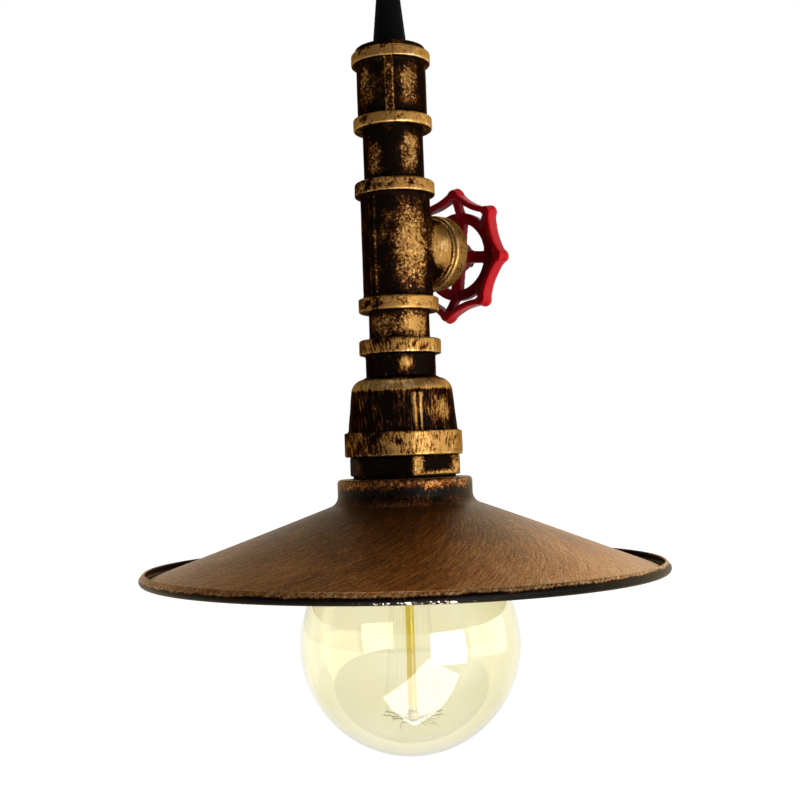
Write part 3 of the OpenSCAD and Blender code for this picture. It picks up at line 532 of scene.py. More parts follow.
def moulded(name, colour, faded, rough, grain=1600, bump=0.2, **sockets):
    """Plastic, rubber or glaze with a fine grain and slight patches."""
    material, tree, shader = new_finish(name, **sockets)
    here = place(tree)
    patches = noise(tree, here, 220, 4, 0.6)
    skin = noise(tree, here, grain, 3, 0.6)
    dulled = between(tree, patches, 0.3, 0.7, rough, rough + 0.1)
    attach(tree, shader, Base_Color=mixed(tree, between(tree, patches, 0.4, 0.75), colour, faded),
           Roughness=weighted(tree, dulled, (skin, 0.5, 0.15)),
           Normal=bumped(tree, skin, bump, 0.0001))
    return material


def bulb_glass_finish(name, tint, thin):
    """Amber glass, uneven from blowing. Its index is above real glass, for the strong reflections."""
    material, tree, shader = new_finish(name, Transmission_Weight=1.0, IOR=1.7, Roughness=0.0)
    here = place(tree)
    waves = noise(tree, here, 26, 2, 0.5)
    attach(tree, shader, Base_Color=mixed(tree, between(tree, waves, 0.35, 0.65), tint, thin),
           Normal=bumped(tree, waves, 0.03, 0.0004))
    return material


def finishes():
    """Every finish by its short name."""
    slant = (math.radians(14), math.radians(-8), 0)
    return {
        "bronze": rubbed_bronze("rubbed_bronze", 1.0, 0.5),
        "bell": rubbed_bronze("rubbed_bell", 0.55, 2.6, streak_turn=slant),
        "copper": brushed_copper("brushed_copper"),
        "red": red_enamel("red_enamel"),
        "grip": moulded("black_grip", rgb(5, 4, 4), rgb(9, 8, 7), 0.7, Specular_IOR_Level=0.05),
        "white": moulded("white_nylon", rgb(226, 224, 214), rgb(210, 206, 194), 0.45),
        "rubber": moulded("black_rubber", rgb(8, 7, 6), rgb(15, 13, 11), 0.75, Specular_IOR_Level=0.05),
        "vitrite": moulded("black_cap_glass", rgb(10, 10, 12), rgb(20, 20, 22), 0.15, 900, 0.05),
        "porcelain": moulded("porcelain", rgb(236, 232, 222), rgb(226, 220, 206), 0.16, 700, 0.06,
                             Coat_Weight=0.6),
        "zinc": plain_metal("zinc_steel", rgb(176, 178, 180), rgb(140, 140, 138), 0.34),
        "brass": plain_metal("turned_brass", rgb(212, 172, 92), rgb(160, 120, 58), 0.28),
        "dark": plain_metal("blackened_steel", rgb(44, 38, 34), rgb(26, 22, 20), 0.45),
        "wire": plain_metal("drawn_wire", rgb(176, 164, 104), rgb(146, 134, 84), 0.35, 0.4),
        "filament": plain_metal("filament_wire", rgb(250, 240, 200), rgb(240, 228, 184), 0.5, 0.0),
        "glass": bulb_glass_finish("amber_glass", rgb(247, 243, 214), rgb(251, 248, 226)),
        "stem": bulb_glass_finish("stem_glass", rgb(214, 190, 58), rgb(226, 204, 82)),
    }


# Pieces

# How worn the insides of the castings are
INSIDE = 0.1


def band_wear_and_light(a, z, *bands):
    """How worn the bands are, with painted shade on their left side and a painted highlight, as well as
    wear, along one edge. Each is its top, foot, that edge's height and the share of shade painted on the
    left.
    """
    black, clean, about_r = -0.3, 0.88, 16
    t = np.radians(a)
    wear_and_light = np.full_like(z + a, black)
    smudges = lumps(about_r * np.cos(t) + 0 * z, about_r * np.sin(t) + 0 * z, z + 0 * a, 6, 17)
    smudges = np.clip(smudges, 0, 1) * (0.2 + 0.38 * patch(a, 0 * z, -24, 50, 0, 1))
    # Painted shade: each band is darker on its left side, and the painted highlight on its lower edge,
    # which is also wear, is weaker there.
    left = patch(a, 0 * z, -62, 56, 0, 1)
    for top, foot, edge, left_shade in bands:
        on = window(z, foot - 0.15, foot + 0.25, top - 0.05, top + 0.3)
        worn = clean * (1 - left_shade * left) - smudges + (0.42 - 0.2 * left) * hump(z, edge, 0.7)
        wear_and_light = np.maximum(wear_and_light, on * (worn - black) + black)
    return wear_and_light


def parted(a, r, at, past, step):
    """The radius of two halves of a casting, one standing a little proud of the other."""
    off = off_angle(a, at)
    proud = smooth_step(-0.6, 0.6, off) - smooth_step(179.4, 180.6, np.abs(off)) * np.sign(off)
    return r + (r > past) * step * (proud - 0.5)


def cast_surface(a, r, z, past, seed, depth=0.07, size=9):
    """The uneven skin of a casting, on its faces past a radius."""
    t = np.radians(a + FRONT)
    rough = lumps(r * np.cos(t), r * np.sin(t), z, size, seed) * depth
    return r + (r > past) * rough, z


def coupling(finish):
    """The banded coupling, with two cast ribs."""
    band_r, band_h, rib_at, rib_half, rib_r, outside = 17.3, 5.0, -3.0, 1.55, 16.25, 14.5
    end = band(band_r, BARREL_R, band_h)
    low, high = COUPLING_FOOT + SOCKET_DEEP, COUPLING_TOP - SOCKET_DEEP
    outline = ([(SOCKET_R, COUPLING_TOP)] + at_end(end, COUPLING_TOP, 1) + at_end(end, COUPLING_FOOT, -1)
               + [(SOCKET_R, COUPLING_FOOT), (SOCKET_R, low), (WAIST_R, low), (WAIST_R, high),
                  (SOCKET_R, high)])

    def across(a, at, r):
        return r * np.sin(np.radians(a - at))

    def shape(a, r, z):
        for at in (rib_at, rib_at + 180):
            near = np.cos(np.radians(a - at)) > 0
            on = near * (1 - smooth_step(rib_half - 0.25, rib_half + 0.55, np.abs(across(a, at, r))))
            r = np.where(r > outside, np.maximum(r, r + (rib_r - r) * on), r)
        return cast_surface(a, parted(a, r, rib_at + 7.5, outside, 0.3), z, outside, 3)

    def wear_and_light(a, r, z):
        mid, half = (COUPLING_TOP + COUPLING_FOOT) / 2, 10.5
        bands = band_wear_and_light(a, z, (COUPLING_TOP, COUPLING_TOP - band_h, COUPLING_TOP - 4.6, 0.05),
                           (COUPLING_FOOT + band_h, COUPLING_FOOT, COUPLING_FOOT + 0.5, 0.18))
        bands = bands + 0.08 - 0.35 * hump(a, rib_at + 6.2, 1.1)
        # The strong patch right of the front is wear and a painted highlight.
        barrel = wear_and_light_patches(a, z, (-46, 18, mid + 1, half - 1, 0.65), (31, 17, mid + 1, half - 1, 0.8),
                        (120, 28, mid, half, 0.6), (-130, 28, mid, half, 0.6)) - 0.15
        d = across(a, rib_at, r)
        edges = 0.8 * hump(d, -rib_half, 0.4) + 0.6 * hump(d, rib_half, 0.35)
        rib = np.maximum(0.24 * (np.abs(d) < rib_half), edges)
        rib = rib * (np.abs(a - rib_at) < 30) * (np.abs(z - mid) < 12.5)
        return np.where(r > outside - 0.2, np.maximum(np.maximum(bands, rib), barrel), INSIDE)

    mesh = turned("coupling_casting", outline, shape=shape, wear_and_light=wear_and_light, step=0.6)
    new_piece(mesh, "lamp", finish, ["pipe_coupling"])


def nipple(name, node, top, foot, patches, finish):
    """A plain length of pipe, with patches of wear, the strongest also a painted highlight."""
    painted_past, cast_past = 12, 12.9
    outline = [(PIPE_BORE, top), (PIPE_R, top), (PIPE_R, foot), (PIPE_BORE, foot)]

    def wear_and_light(a, r, z):
        return np.where(r > painted_past, wear_and_light_patches(a, z, *patches) - 0.12, INSIDE)

    def shape(a, r, z):
        return cast_surface(a, r, z, cast_past, 5, 0.04, 14)

    mesh = turned(name, outline, turns=192, step=1.0, shape=shape, wear_and_light=wear_and_light)
    new_piece(mesh, "lamp", finish, [node])


def plug(finish):
    """The flanged plug that closes the coupling and takes the cord grip."""
    bore, skirt_bore, flange_r, edge = 5.1, 10.8, 15.4, 0.9
    outline = ([(bore, PLUG_TOP)] + arc((flange_r - edge, PLUG_TOP - edge), edge, 90, 0)
               + [(flange_r, COUPLING_TOP), (PIPE_R, COUPLING_TOP), (PIPE_R, SKIRT_FOOT),
                  (skirt_bore, SKIRT_FOOT), (skirt_bore, PLUG_UNDER), (bore, PLUG_UNDER)])

    def wear_and_light(a, r, z):
        return 0.35 * hump(r, flange_r - 0.3, 0.5) * (z > COUPLING_TOP - 0.1) - 0.15

    mesh = turned("top_plug_casting", outline, turns=192, step=0.8, wear_and_light=wear_and_light)
    new_piece(mesh, "lamp", finish, ["top_plug"])


def tee(finish):
    """The banded tee, with a raised seam and its branch blended into the run."""
    band_r, band_h, arm_end, arm_r, mouth_r, mouth_h = 17.5, 5.9, 29.0, 14.9, 16.7, 7.4
    arm_bore, arm_ledge, past, fillet = 11.0, 15.5, 2.0, 4.5
    seam_r, seam_half, seam_tall, seam_fillet = 15.75, 1.5, 25, 0.9
    end = band(band_r, BARREL_R, band_h)
    run = [(-1, TEE_TOP)] + at_end(end, TEE_TOP, 1) + at_end(end, TEE_FOOT, -1) + [(-1, TEE_FOOT)]
    low, high = TEE_FOOT + SOCKET_DEEP, TEE_TOP - SOCKET_DEEP
    way = [(-1, TEE_TOP + past), (SOCKET_R, TEE_TOP + past), (SOCKET_R, high), (WAIST_R, high),
           (WAIST_R, low), (SOCKET_R, low), (SOCKET_R, TEE_FOOT - past), (-1, TEE_FOOT - past)]
    mouth = at_end(band(mouth_r, arm_r, mouth_h, 0.9), arm_end, 1)
    arm = [(-1, arm_end)] + mouth + [(arm_r, 0.5), (-1, 0.5)]
    arm_way = [(-1, arm_end + past), (SOCKET_R, arm_end + past), (SOCKET_R, arm_ledge),
               (arm_bore, arm_ledge), (arm_bore, 0.0), (-1, 0.0)]

    def distance(p):
        x, y, z = p.T
        round_run, round_arm = np.hypot(x, y), np.hypot(y, z - TEE_MID)
        body = outline_distance(round_run, z, run)
        seam = np.maximum(np.maximum(np.abs(y) - seam_half, x), np.abs(z - TEE_MID) - seam_tall)
        body = blend(body, np.maximum(seam, round_run - seam_r), seam_fillet)
        body = blend(body, outline_distance(round_arm, x, arm), fillet)
        hollow = np.minimum(outline_distance(round_run, z, way), outline_distance(round_arm, x, arm_way))
        return np.maximum(body, -hollow)

    mesh = finished_mesh(solid_copy("tee", "tee_casting"),
                         ("REMESH", dict(mode="VOXEL", voxel_size=0.45 * MM)))
    points = settled(points_of(mesh), distance)
    x, y, z = points.T
    set_points(mesh, points)
    outside = (np.hypot(x, y) > 14.2) | (x > 10) & (np.hypot(y, z - TEE_MID) > 13.9)
    points += (outside * lumps(x, y, z, 9, 8) * 0.07)[:, None] * vectors_of(mesh, "normal")
    set_points(mesh, points)

    a = from_front(x, y)
    off_run, off_arm = np.hypot(x, y) - BARREL_R, np.hypot(y, z - TEE_MID)
    on_arm = smooth_step(0.2, 1.6, off_run) * (x > 0) * (off_arm < 17.2)
    bands = band_wear_and_light(a, z, (TEE_TOP, TEE_TOP - band_h, TEE_TOP - 5.5, 0.42),
                       (TEE_FOOT + band_h, TEE_FOOT, TEE_FOOT + 0.5, 0.42))
    bands = np.where(np.hypot(x, y) > 15.6, bands, -0.3)
    # The strong patch right of the front is wear and a painted highlight.
    barrel = wear_and_light_patches(a, z, (-22, 16, TEE_MID, 20, 0.24), (26, 29, TEE_MID - 1, 20, 0.9),
                    (170, 40, TEE_MID, 19, 0.6), (-120, 22, TEE_MID, 19, 0.5)) - 0.15
    ridge = 0.3 * hump(np.abs(y), 1.7, 0.35) * (x < 0) * (np.abs(z - TEE_MID) < 21)
    barrel = np.maximum(barrel, ridge)
    streaks = np.clip(lumps(3 * x, 3 * y, 0.5 * z, 5, 44) - 0.15, 0, 1)
    past_mouth = x - (arm_end - mouth_h)
    arm_wear_and_shade = 1.1 - 0.5 * streaks + 0.35 * hump(past_mouth, 0.5, 0.5)
    # The groove before the end band is darker, and the band past its ridge is painted darker as shade.
    arm_wear_and_shade -= 0.9 * hump(past_mouth, -1.4, 0.7) + 0.3 * smooth_step(1.0, 2.9, past_mouth)
    off_mid = np.where(z > TEE_MID, z - TEE_MID - 2.5, TEE_MID - z)
    arm_wear_and_shade -= 1.3 * smooth_step(5, 11, off_mid) * (1 - smooth_step(16, 22, x))
    valley = hump(off_run, 1.1, 0.8) * (off_arm < 16.5) * (x > 0)
    wear_and_light = np.maximum(bands, barrel) * (1 - on_arm) + arm_wear_and_shade * on_arm - 0.45 * valley
    paint(mesh, "wear_and_light", np.where(outside, wear_and_light, INSIDE))
    new_piece(mesh, "lamp", finish, ["tee"])


def reducer(finish):
    """The bell reducer: a neck band, a round shoulder, two tapering ribs and a large band."""
    neck_r, neck_h, bell_r, foot_r, foot_h, throat = 17.8, 6.4, 23.6, 25.5, 10.4, 10.6
    bend, bend_out, bend_in, mouth_r, hall_r, mouth_deep = (16.0, SHOULDER), 6.0, 3.4, 21.0, 20.2, 14.5
    rib_at, rib_half, rib_taper, rib_high, groove_deep = 16.0, 2.35, 0.9, 1.05, 0.6
    deep = REDUCER_FOOT + mouth_deep
    outline = ([(SOCKET_R, REDUCER_TOP)] + at_end(band(neck_r, BARREL_R, neck_h), REDUCER_TOP, 1)
               + [(BARREL_R, SHOULDER + 6.9)] + arc(bend, bend_out, 80, 0, 12)
               + at_end(band(foot_r, bell_r, foot_h), REDUCER_FOOT, -1)
               + [(mouth_r, REDUCER_FOOT), (mouth_r, deep), (hall_r, deep)] + arc(bend, bend_in, 0, 90)
               + [(throat, SHOULDER + bend_in), (throat, LEDGE), (SOCKET_R, LEDGE)])

    def on_rib(a, r, z, at):
        """The distance from a rib's middle, its half width at this height, and 1 where it stands."""
        d = r * np.sin(np.radians(a - at))
        down = np.clip((SHOULDER - z) / (SHOULDER - BELL_BAND_TOP), 0, 1)
        near = np.cos(np.radians(a - at)) > 0
        tall = window(z, BELL_BAND_TOP - 0.6, BELL_BAND_TOP, SHOULDER - 0.6, SHOULDER + 0.6)
        return d, rib_half - rib_taper * down, near * tall

    def shape(a, r, z):
        for at in (rib_at, rib_at + 180):
            d, half, on = on_rib(a, r, z, at)
            flank = 1 - smooth_step(half - 0.3, half + 0.45, np.abs(d))
            groove = 1 - smooth_step(0.3, 0.75, np.abs(d))
            groove *= window(z, BELL_BAND_TOP + 1, BELL_BAND_TOP + 2, SHOULDER - 2.4, SHOULDER - 1.4)
            r = r + (r > 21.6) * on * (rib_high * flank - groove_deep * groove)
        return cast_surface(a, r, z, 14.5, 12)

    def wear_and_light(a, r, z):
        black, barrel_mid, bell_mid = -0.3, -162.3, (SHOULDER + BELL_BAND_TOP) / 2
        total = band_wear_and_light(a, z, (REDUCER_TOP, REDUCER_TOP - neck_h, REDUCER_TOP - 6.0, 0.48),
                           (BELL_BAND_TOP, REDUCER_FOOT, REDUCER_FOOT + 0.6, 0.68))
        pit = hump(a, -4, 3.2) * hump(z, REDUCER_FOOT + 6, 1.2)
        # A pale spot on the neck just right of the front, wear and a painted highlight.
        total = np.maximum(total - 0.9 * pit, 1.5 * hump(a, 9, 14) * hump(z, barrel_mid, 3.2) + black)
        total = np.maximum(total, 1.32 * np.exp(-((z - (SHOULDER + 2.8)) / 2.5) ** 4) - 0.2)
        # The gold streak on the bell right of the front is wear and a painted highlight.
        for worn in ((44, 24, bell_mid + 1, 7.5, 0.85), (-40, 40, bell_mid, 8, 0.3),
                     (150, 40, bell_mid, 8, 0.75)):
            total = np.maximum(total, wear_and_light_patches(a, z, worn) + black)
        d, half, on = on_rib(a, r, z, rib_at)
        ridge = on * (np.abs(d) < half + 0.3) * (0.95 - 0.9 * hump(d, 0, 0.55))
        beside = on * hump(np.abs(d), half + 0.9, 0.6)
        total = np.maximum(total - 0.5 * beside, ridge + black * (1 - on))
        total = total - 0.8 * on * (np.abs(d) < 2.6) * hump(z, SHOULDER - 0.4, 0.9)
        outside = (r > 14.4) & ((r >= 21.5) | (z > SHOULDER))
        return np.where(outside, total, INSIDE)

    mesh = turned("reducer_casting", outline, turns=320, step=0.6, shape=shape, wear_and_light=wear_and_light)
    new_piece(mesh, "lamp", finish, ["reducer"])


def hex_piece(finish):
    """The hex nipple, with painted shade and highlight: black on its left faces, its right faces and edges
    brighter, partly from wear.
    """
    flat_r, corner_at, black = 21.3, 10, -1.3
    mesh = bevelled("hex_nipple", "hex_nipple_turned", 0.45)
    dense = finished_mesh(mesh, ("REMESH", dict(mode="VOXEL", voxel_size=0.4 * MM)),
                          ("SMOOTH", dict(factor=0.5, iterations=3)))
    x, y, z = points_of(dense).T
    a = from_front(x, y)
    off_corner, off_face = ((a - at + 30) % 60 - 30 for at in (corner_at, corner_at + 30))
    corner = hump(off_corner, 0, 2.6)
    low, high = hump(z, HEX_FOOT, 0.8), hump(z, REDUCER_FOOT, 0.6)
    along = np.abs(np.sin(np.radians(off_face))) / math.sin(math.radians(30))
    centre = (1 - smooth_step(0.5, 0.8, along)) * smooth_step(1.2, 3.0, z - HEX_FOOT)
    # Painted shade and highlight: the faces left of the front are black, those right of it brighter, and
    # the lower and corner edges brighter on the right.
    right = window(a, 6, 12, 130, 190)
    wear_and_light = right * (2.05 - 0.85 * centre) + black
    wear_and_light = np.maximum(wear_and_light, low * (0.9 * right + 0.25) + black * (1 - right) * (1 - low))
    edges = np.maximum(0.95 * corner, 0.5 * high) * (0.3 + 0.7 * smooth_step(-20, 8, a)) - 0.15
    outside = (np.hypot(x, y) > flat_r) & (z < REDUCER_FOOT + 0.5)
    paint(dense, "wear_and_light", np.where(outside, np.maximum(wear_and_light, edges), INSIDE))
    new_piece(dense, "lamp", finish, ["hex_nipple"])


def shade(finish):
    """The spun cone, a little out of true as in the photograph, with its rolled lip."""
    slope_deg, lean_deg = 20.2, 40
    slope, lean = math.radians(slope_deg), math.radians(lean_deg)
    hole, collar, sheet, rim, lip_high = 21.1, 29.2, 1.0, 112.8, 4.9
    fillet_r, top_r, curl = 5, 1.8, 1.0
    shift, tilt, sag = 1.3, 0.008, 0.3
    black = -0.35
    fillet = (collar + fillet_r, CONE_TOP - fillet_r * math.tan(slope) + fillet_r / math.cos(slope))
    lip_r = rim - sheet - curl
    lip = (lip_r, CONE_TOP - (lip_r - collar) * math.tan(slope) + curl / math.cos(slope))
    foot = lip[1] - curl - sheet
    middle = curl + sheet / 2
    lip_foot = (lip[0] + middle * math.cos(lean), lip[1] + middle * math.sin(lean))
    run = (foot + lip_high - sheet / 2 - lip_foot[1]) / math.cos(lean)
    lip_end = (lip_foot[0] - run * math.sin(lean), lip_foot[1] + run * math.cos(lean))
    top = (collar - top_r, SHADE_TOP - top_r)
    bend = 270 - slope_deg
    crown = [(hole, SHADE_TOP)] + arc(top, top_r, 90, 0) + arc(fillet, fillet_r, 180, bend, 12)
    outside = refined(crown, 0.5, False) + arc(lip, curl, bend, 360 + lean_deg, 10)
    inside = ([(hole, SHADE_TOP - sheet)] + arc(top, top_r - sheet, 90, 0)
              + arc(fillet, fillet_r + sheet, 180, bend, 12)
              + arc(lip, curl + sheet, bend, 360 + lean_deg, 18))
    lip_top = arc(lip_end, sheet / 2, 180 + lean_deg, lean_deg, 8)
    outline = outside + lip_top + refined([lip_top[-1], inside[-1]], 0.3, False)[1:-1] + inside[::-1]

    def shape(a, r, z):
        out = smooth_step(collar, rim, r)
        right = np.sin(np.radians(a))
        return r - shift * out * right, z - tilt * r * out * right - sag * out

    def uneven(a, r, z):
        t = np.radians(a)
        return lumps(r * np.cos(t), r * np.sin(t), z, 14, 31)

    def above_line(a, r, z):
        """Height above the chipped line where the lip's black face begins."""
        return z - foot - 3.4 - 0.7 * np.sin(np.radians(a)) - 0.4 * uneven(a, r, z)

    def on_cone(a, r, z):
        """The cone and its collar: gold at the top, then soot, then copper that pales outward, with a
        painted sheen towards the sides and a painted highlight right of the front.
        """
        span = np.clip((r - collar) / (lip_r - collar), 0, 1)
        # A painted highlight: a brighter patch on the cone right of the front.
        cone = 0.14 + 0.38 * span + 0.1 * patch(a, z, 25, 30, -240, 30) * span
        wavy = uneven(a, r, z)
        gold_foot, soot_foot = SHADE_TOP - 3.4 + 1.2 * wavy, SHADE_TOP - 7.6 + 0.8 * wavy
        gold_edge = smooth_step(gold_foot - 3.2, gold_foot + 2.6, z)
        soot = smooth_step(soot_foot - 3.6, soot_foot + 3.0, z) * (1 - gold_edge)
        soot *= 0.6 + 0.4 * patch(a, z, 15, 55, SHADE_TOP, 40)
        cone = cone - 0.6 * soot * (r < collar + 3) + 0.34 * gold_edge * (r > collar - 3)
        # Painted sheen: the cone pales towards both sides, more on the right.
        side = np.sin(np.radians(a))
        cone = cone + span * (0.26 * np.abs(side) + 0.12 * np.maximum(side, 0))
        return cone - 0.4 * hump(r, lip_r - 0.2, 0.45)

    def wear_and_light(a, r, z):
        out_of_lip = (r - lip[0]) * math.cos(lean) + (z - lip[1]) * math.sin(lean)
        up_lip = (z - lip[1]) * math.cos(lean) - (r - lip[0]) * math.sin(lean)
        on_lip = (r > lip_r + 0.3) | ((r > lip_r - 1.5) & (z > lip[1] - 0.4))
        inner = np.where(up_lip > 0, out_of_lip, np.hypot(r - lip[0], z - lip[1])) < 1.25
        up = above_line(a, r, z)
        chipped = 0.1 + 0.25 * smooth_step(-20, 15, a)
        outer = 0.78 - 1.2 * (1 - smooth_step(-0.6, 0.2, up)) + chipped * hump(up, 0.2, 0.5)
        # Painted shade: the lip's top and outer face are darker on its back half.
        outer = outer - 1.1 * (1 - smooth_step(-0.3, 0.2, np.cos(np.radians(a))))
        under = ~on_lip & (z < CONE_TOP - (r - collar) * math.tan(slope) - 0.5)
        under |= (r < collar - 0.5) & (z < SHADE_TOP - 0.5)
        rings = lumps(r + 0 * a, 0 * (r + a), 0 * (r + a), 5, 19)
        plain = np.where(under, 0.3 * rings - 0.2, on_cone(a, r, z))
        return np.where(on_lip, np.where(inner, black, outer), plain)

    def fleck_and_glint(a, r, z):
        on_collar = smooth_step(SHADE_TOP - 8, SHADE_TOP - 4, z)
        on_lip = r > lip_r - 1.5
        on_line = hump(above_line(a, r, z), 0, 1.1)
        # Painted glints at the front of the lip's foot, partly chipped paint.
        foot_glints = 2.2 * hump(z, foot + 0.7, 0.9) * patch(a, z, 2, 12, foot, 9)
        return np.maximum(0.8 * on_collar, on_lip * np.maximum(on_line, foot_glints))

    mesh = turned("shade_spinning", outline, turns=360, step=1.6, shape=shape, wear_and_light=wear_and_light, fleck_and_glint=fleck_and_glint,
                  uv_radius=70)
    new_piece(mesh, "lamp", finish, ["shade"])


def handwheel(finish):
    """The red wheel, softened like a casting, its lobes ending in rounder knobs than the solid's."""
    lobe_first, lobe_step, rim_in = 7, 45, 26
    regained, knob, knob_half, knob_mid, knob_long = 0.18, 1.0, 2.4, 0.8, 1.9
    mesh = finished_mesh(solid_copy("handwheel", "handwheel_casting"),
                         ("REMESH", dict(mode="VOXEL", voxel_size=0.32 * MM)),
                         ("SMOOTH", dict(factor=0.5, iterations=14)))
    points, normal = points_of(mesh), vectors_of(mesh, "normal")
    points += (regained + lumps(*points.T, 6, 21) * 0.05)[:, None] * normal
    x, y, z = points.T
    out = np.hypot(y, z - TEE_MID)
    outward = (normal[:, 1] * y + normal[:, 2] * (z - TEE_MID)) / out
    turn = np.degrees(np.arctan2(y, TEE_MID - z))
    aside = out * np.radians((turn - lobe_first + lobe_step / 2) % lobe_step - lobe_step / 2)
    along = x - x[out > rim_in].mean()
    grown_by = knob * hump(aside, 0, knob_half) * hump(along, knob_mid, knob_long)
    points += (grown_by * smooth_step(0.2, 0.8, outward))[:, None] * normal
    set_points(mesh, points)
    # Painted shade: the faces and inner parts are darker red than the outward-facing rim, partly a darker
    # wash.
    paint(mesh, "wear_and_light", smooth_step(0.1, 0.75, outward) * smooth_step(20, 25, out))
    new_piece(mesh, "handwheel", finish, ["handwheel"])


def globe(finish):
    """The blown globe, with its neck in the cap."""
    cap_bore, neck, shoulder, glass = 12.5, 14.2, 14.0, 0.9
    mid_x = neck + shoulder
    rise = math.sqrt((GLOBE_R + shoulder) ** 2 - mid_x ** 2)
    lean = math.degrees(math.atan2(rise, mid_x))

    def wall(d):
        """The outline of the glass, moved inward by d."""
        return ([(cap_bore - d, CAP_FOOT + 6), (cap_bore - d, CAP_FOOT - 0.3 - d),
                 (neck - d, CAP_FOOT - 0.6 - d)]
                + arc((mid_x, GLOBE_MID + rise), shoulder + d, 180, 180 + lean, 16)
                + arc((0, GLOBE_MID), GLOBE_R - d, lean, -90, 72))

    mesh = turned("globe_glass", wall(0) + wall(glass)[::-1], turns=192, step=3.0)
    close_poles(mesh)
    new_piece(mesh, "bulb", finish, ["bulb_glass"])


def bulb_cap(finish):
    """The cap's pressed shell with its rolled thread, above the part that grips the glass."""
    cap_r, wall, pitch, depth = 13.1, 0.5, 3.62, 0.6
    inner = cap_r - wall
    outline = [(inner, CAP_TOP), (cap_r, CAP_TOP - wall), (cap_r, CAP_FOOT), (inner, CAP_FOOT),
               (inner, CAP_TOP - wall)]

    def shape(a, r, z):
        rolled = window(z, CAP_FOOT + 6.2, CAP_FOOT + 7.4, CAP_TOP - 3.4, CAP_TOP - 2.4)
        turn = 2 * math.pi * (z / pitch - a / 360)
        return r - depth * rolled * (0.5 - 0.5 * np.cos(turn)), z

    mesh = turned("bulb_cap_shell", outline, turns=144, step=0.4, shape=shape)
    new_piece(mesh, "bulb", finish, ["bulb_cap"])


def filament(finish):
    """One hair-fine wire that runs up and down between the crown and the foot of the cage."""
    hooks, half, wire_r = 10, 0.43, 0.03
    foot_z, crown_z, foot_reach, crown_reach = ROD_FOOT + 4.2, ROD_FOOT + 54.2, 12.0, 8.0

    def hook(reach, z, step, aside=0.0):
        """A point on the ring of hooks, moved sideways."""
        turn = 2 * math.pi * step / hooks + math.asin(aside / reach)
        return Vector((reach * math.cos(turn), reach * math.sin(turn), z)) * MM

    path = [hook(crown_reach, crown_z, 0.5)]
    for i in range(1, hooks):
        path += [hook(foot_reach, foot_z, i, side * half) for side in (-1, 1)]
        if i < hooks - 1:
            path += [hook(crown_reach, crown_z, i + 0.5, side * half) for side in (-1, 1)]
    path.append(hook(crown_reach, crown_z, hooks - 0.5))
    line = bpy.data.meshes.new("filament_wire")
    line.from_pydata(path, [(i, i + 1) for i in range(len(path) - 1)], [])
    tree, given, result = wire_tree("wire_along_path", Wire_radius="Float")
    curve = add(tree, "GeometryNodeMeshToCurve", {"Mesh": given["Geometry"]}).outputs["Curve"]
    end_tree(tree, drawn(tree, curve, given["Wire radius"]), finish, result)
    mesh = grown(tree, line, Wire_radius=wire_r * MM)
    new_piece(mesh, "bulb", finish, ["bulb_filament"])


def wire_spray(finish):
    """Fine kinked wires that spread from the button at the rod's foot."""
    tree, given, result = wire_tree("kinked_spray", Strands="Int", Reach="Float", Kink="Float",
                                    Wire_radius="Float", Height="Float")
    end = add(tree, "ShaderNodeCombineXYZ", {"X": given["Reach"]}).outputs[0]
    line = add(tree, "GeometryNodeCurvePrimitiveLine", {"End": end}).outputs["Curve"]
    line = add(tree, "GeometryNodeResampleCurve", {"Curve": line, "Count": 14}).outputs["Curve"]
    where = add(tree, "GeometryNodeInputPosition").outputs[0]
    rough = add(tree, "ShaderNodeTexNoise",
                {"Vector": where, "Scale": 330.0, "Detail": 1.0}).outputs["Color"]
    off = add(tree, "ShaderNodeVectorMath", {0: rough, 1: (0.5, 0.5, 0.5)}, operation="SUBTRACT").outputs[0]
    along = add(tree, "GeometryNodeSplineParameter").outputs["Factor"]
    much = calc(tree, "MULTIPLY", along, given["Kink"])
    off = add(tree, "ShaderNodeVectorMath", {0: off, "Scale": much}, operation="SCALE").outputs[0]
    strand = add(tree, "GeometryNodeSetPosition", {"Geometry": line, "Offset": off}).outputs["Geometry"]
    strand = drawn(tree, strand, given["Wire radius"], 5)
    root = add(tree, "ShaderNodeCombineXYZ", {"Z": given["Height"]}).outputs[0]
    points = add(tree, "GeometryNodePoints", {"Count": given["Strands"], "Position": root}).outputs[0]
    index = add(tree, "GeometryNodeInputIndex").outputs[0]
    share = calc(tree, "DIVIDE", index, given["Strands"])
    circle = calc(tree, "MULTIPLY", share, 2 * math.pi)
    round_turn = add(tree, "ShaderNodeCombineXYZ", {"Z": circle}).outputs[0]
    loose = add(tree, "FunctionNodeRandomValue", {0: (0.0, -0.42, -0.2), 1: (6.28, 0.22, 0.2), "Seed": 4},
                data_type="FLOAT_VECTOR").outputs[0]
    turn = add(tree, "ShaderNodeVectorMath", {0: round_turn, 1: loose}, operation="ADD").outputs[0]
    length = add(tree, "FunctionNodeRandomValue", {2: 0.55, 3: 1.0, "Seed": 9},
                 data_type="FLOAT").outputs[1]
    spray = add(tree, "GeometryNodeInstanceOnPoints",
                {"Points": points, "Instance": strand, "Rotation": turn, "Scale": length})
    end_tree(tree, spray.outputs["Instances"], finish, result)
    mesh = grown(tree, bpy.data.meshes.new("support_wire_spray"), Strands=24, Reach=14.5 * MM,
                 Kink=6.0 * MM, Wire_radius=0.09 * MM, Height=(ROD_FOOT + 1.2) * MM)
    new_piece(mesh, "bulb", finish, [])


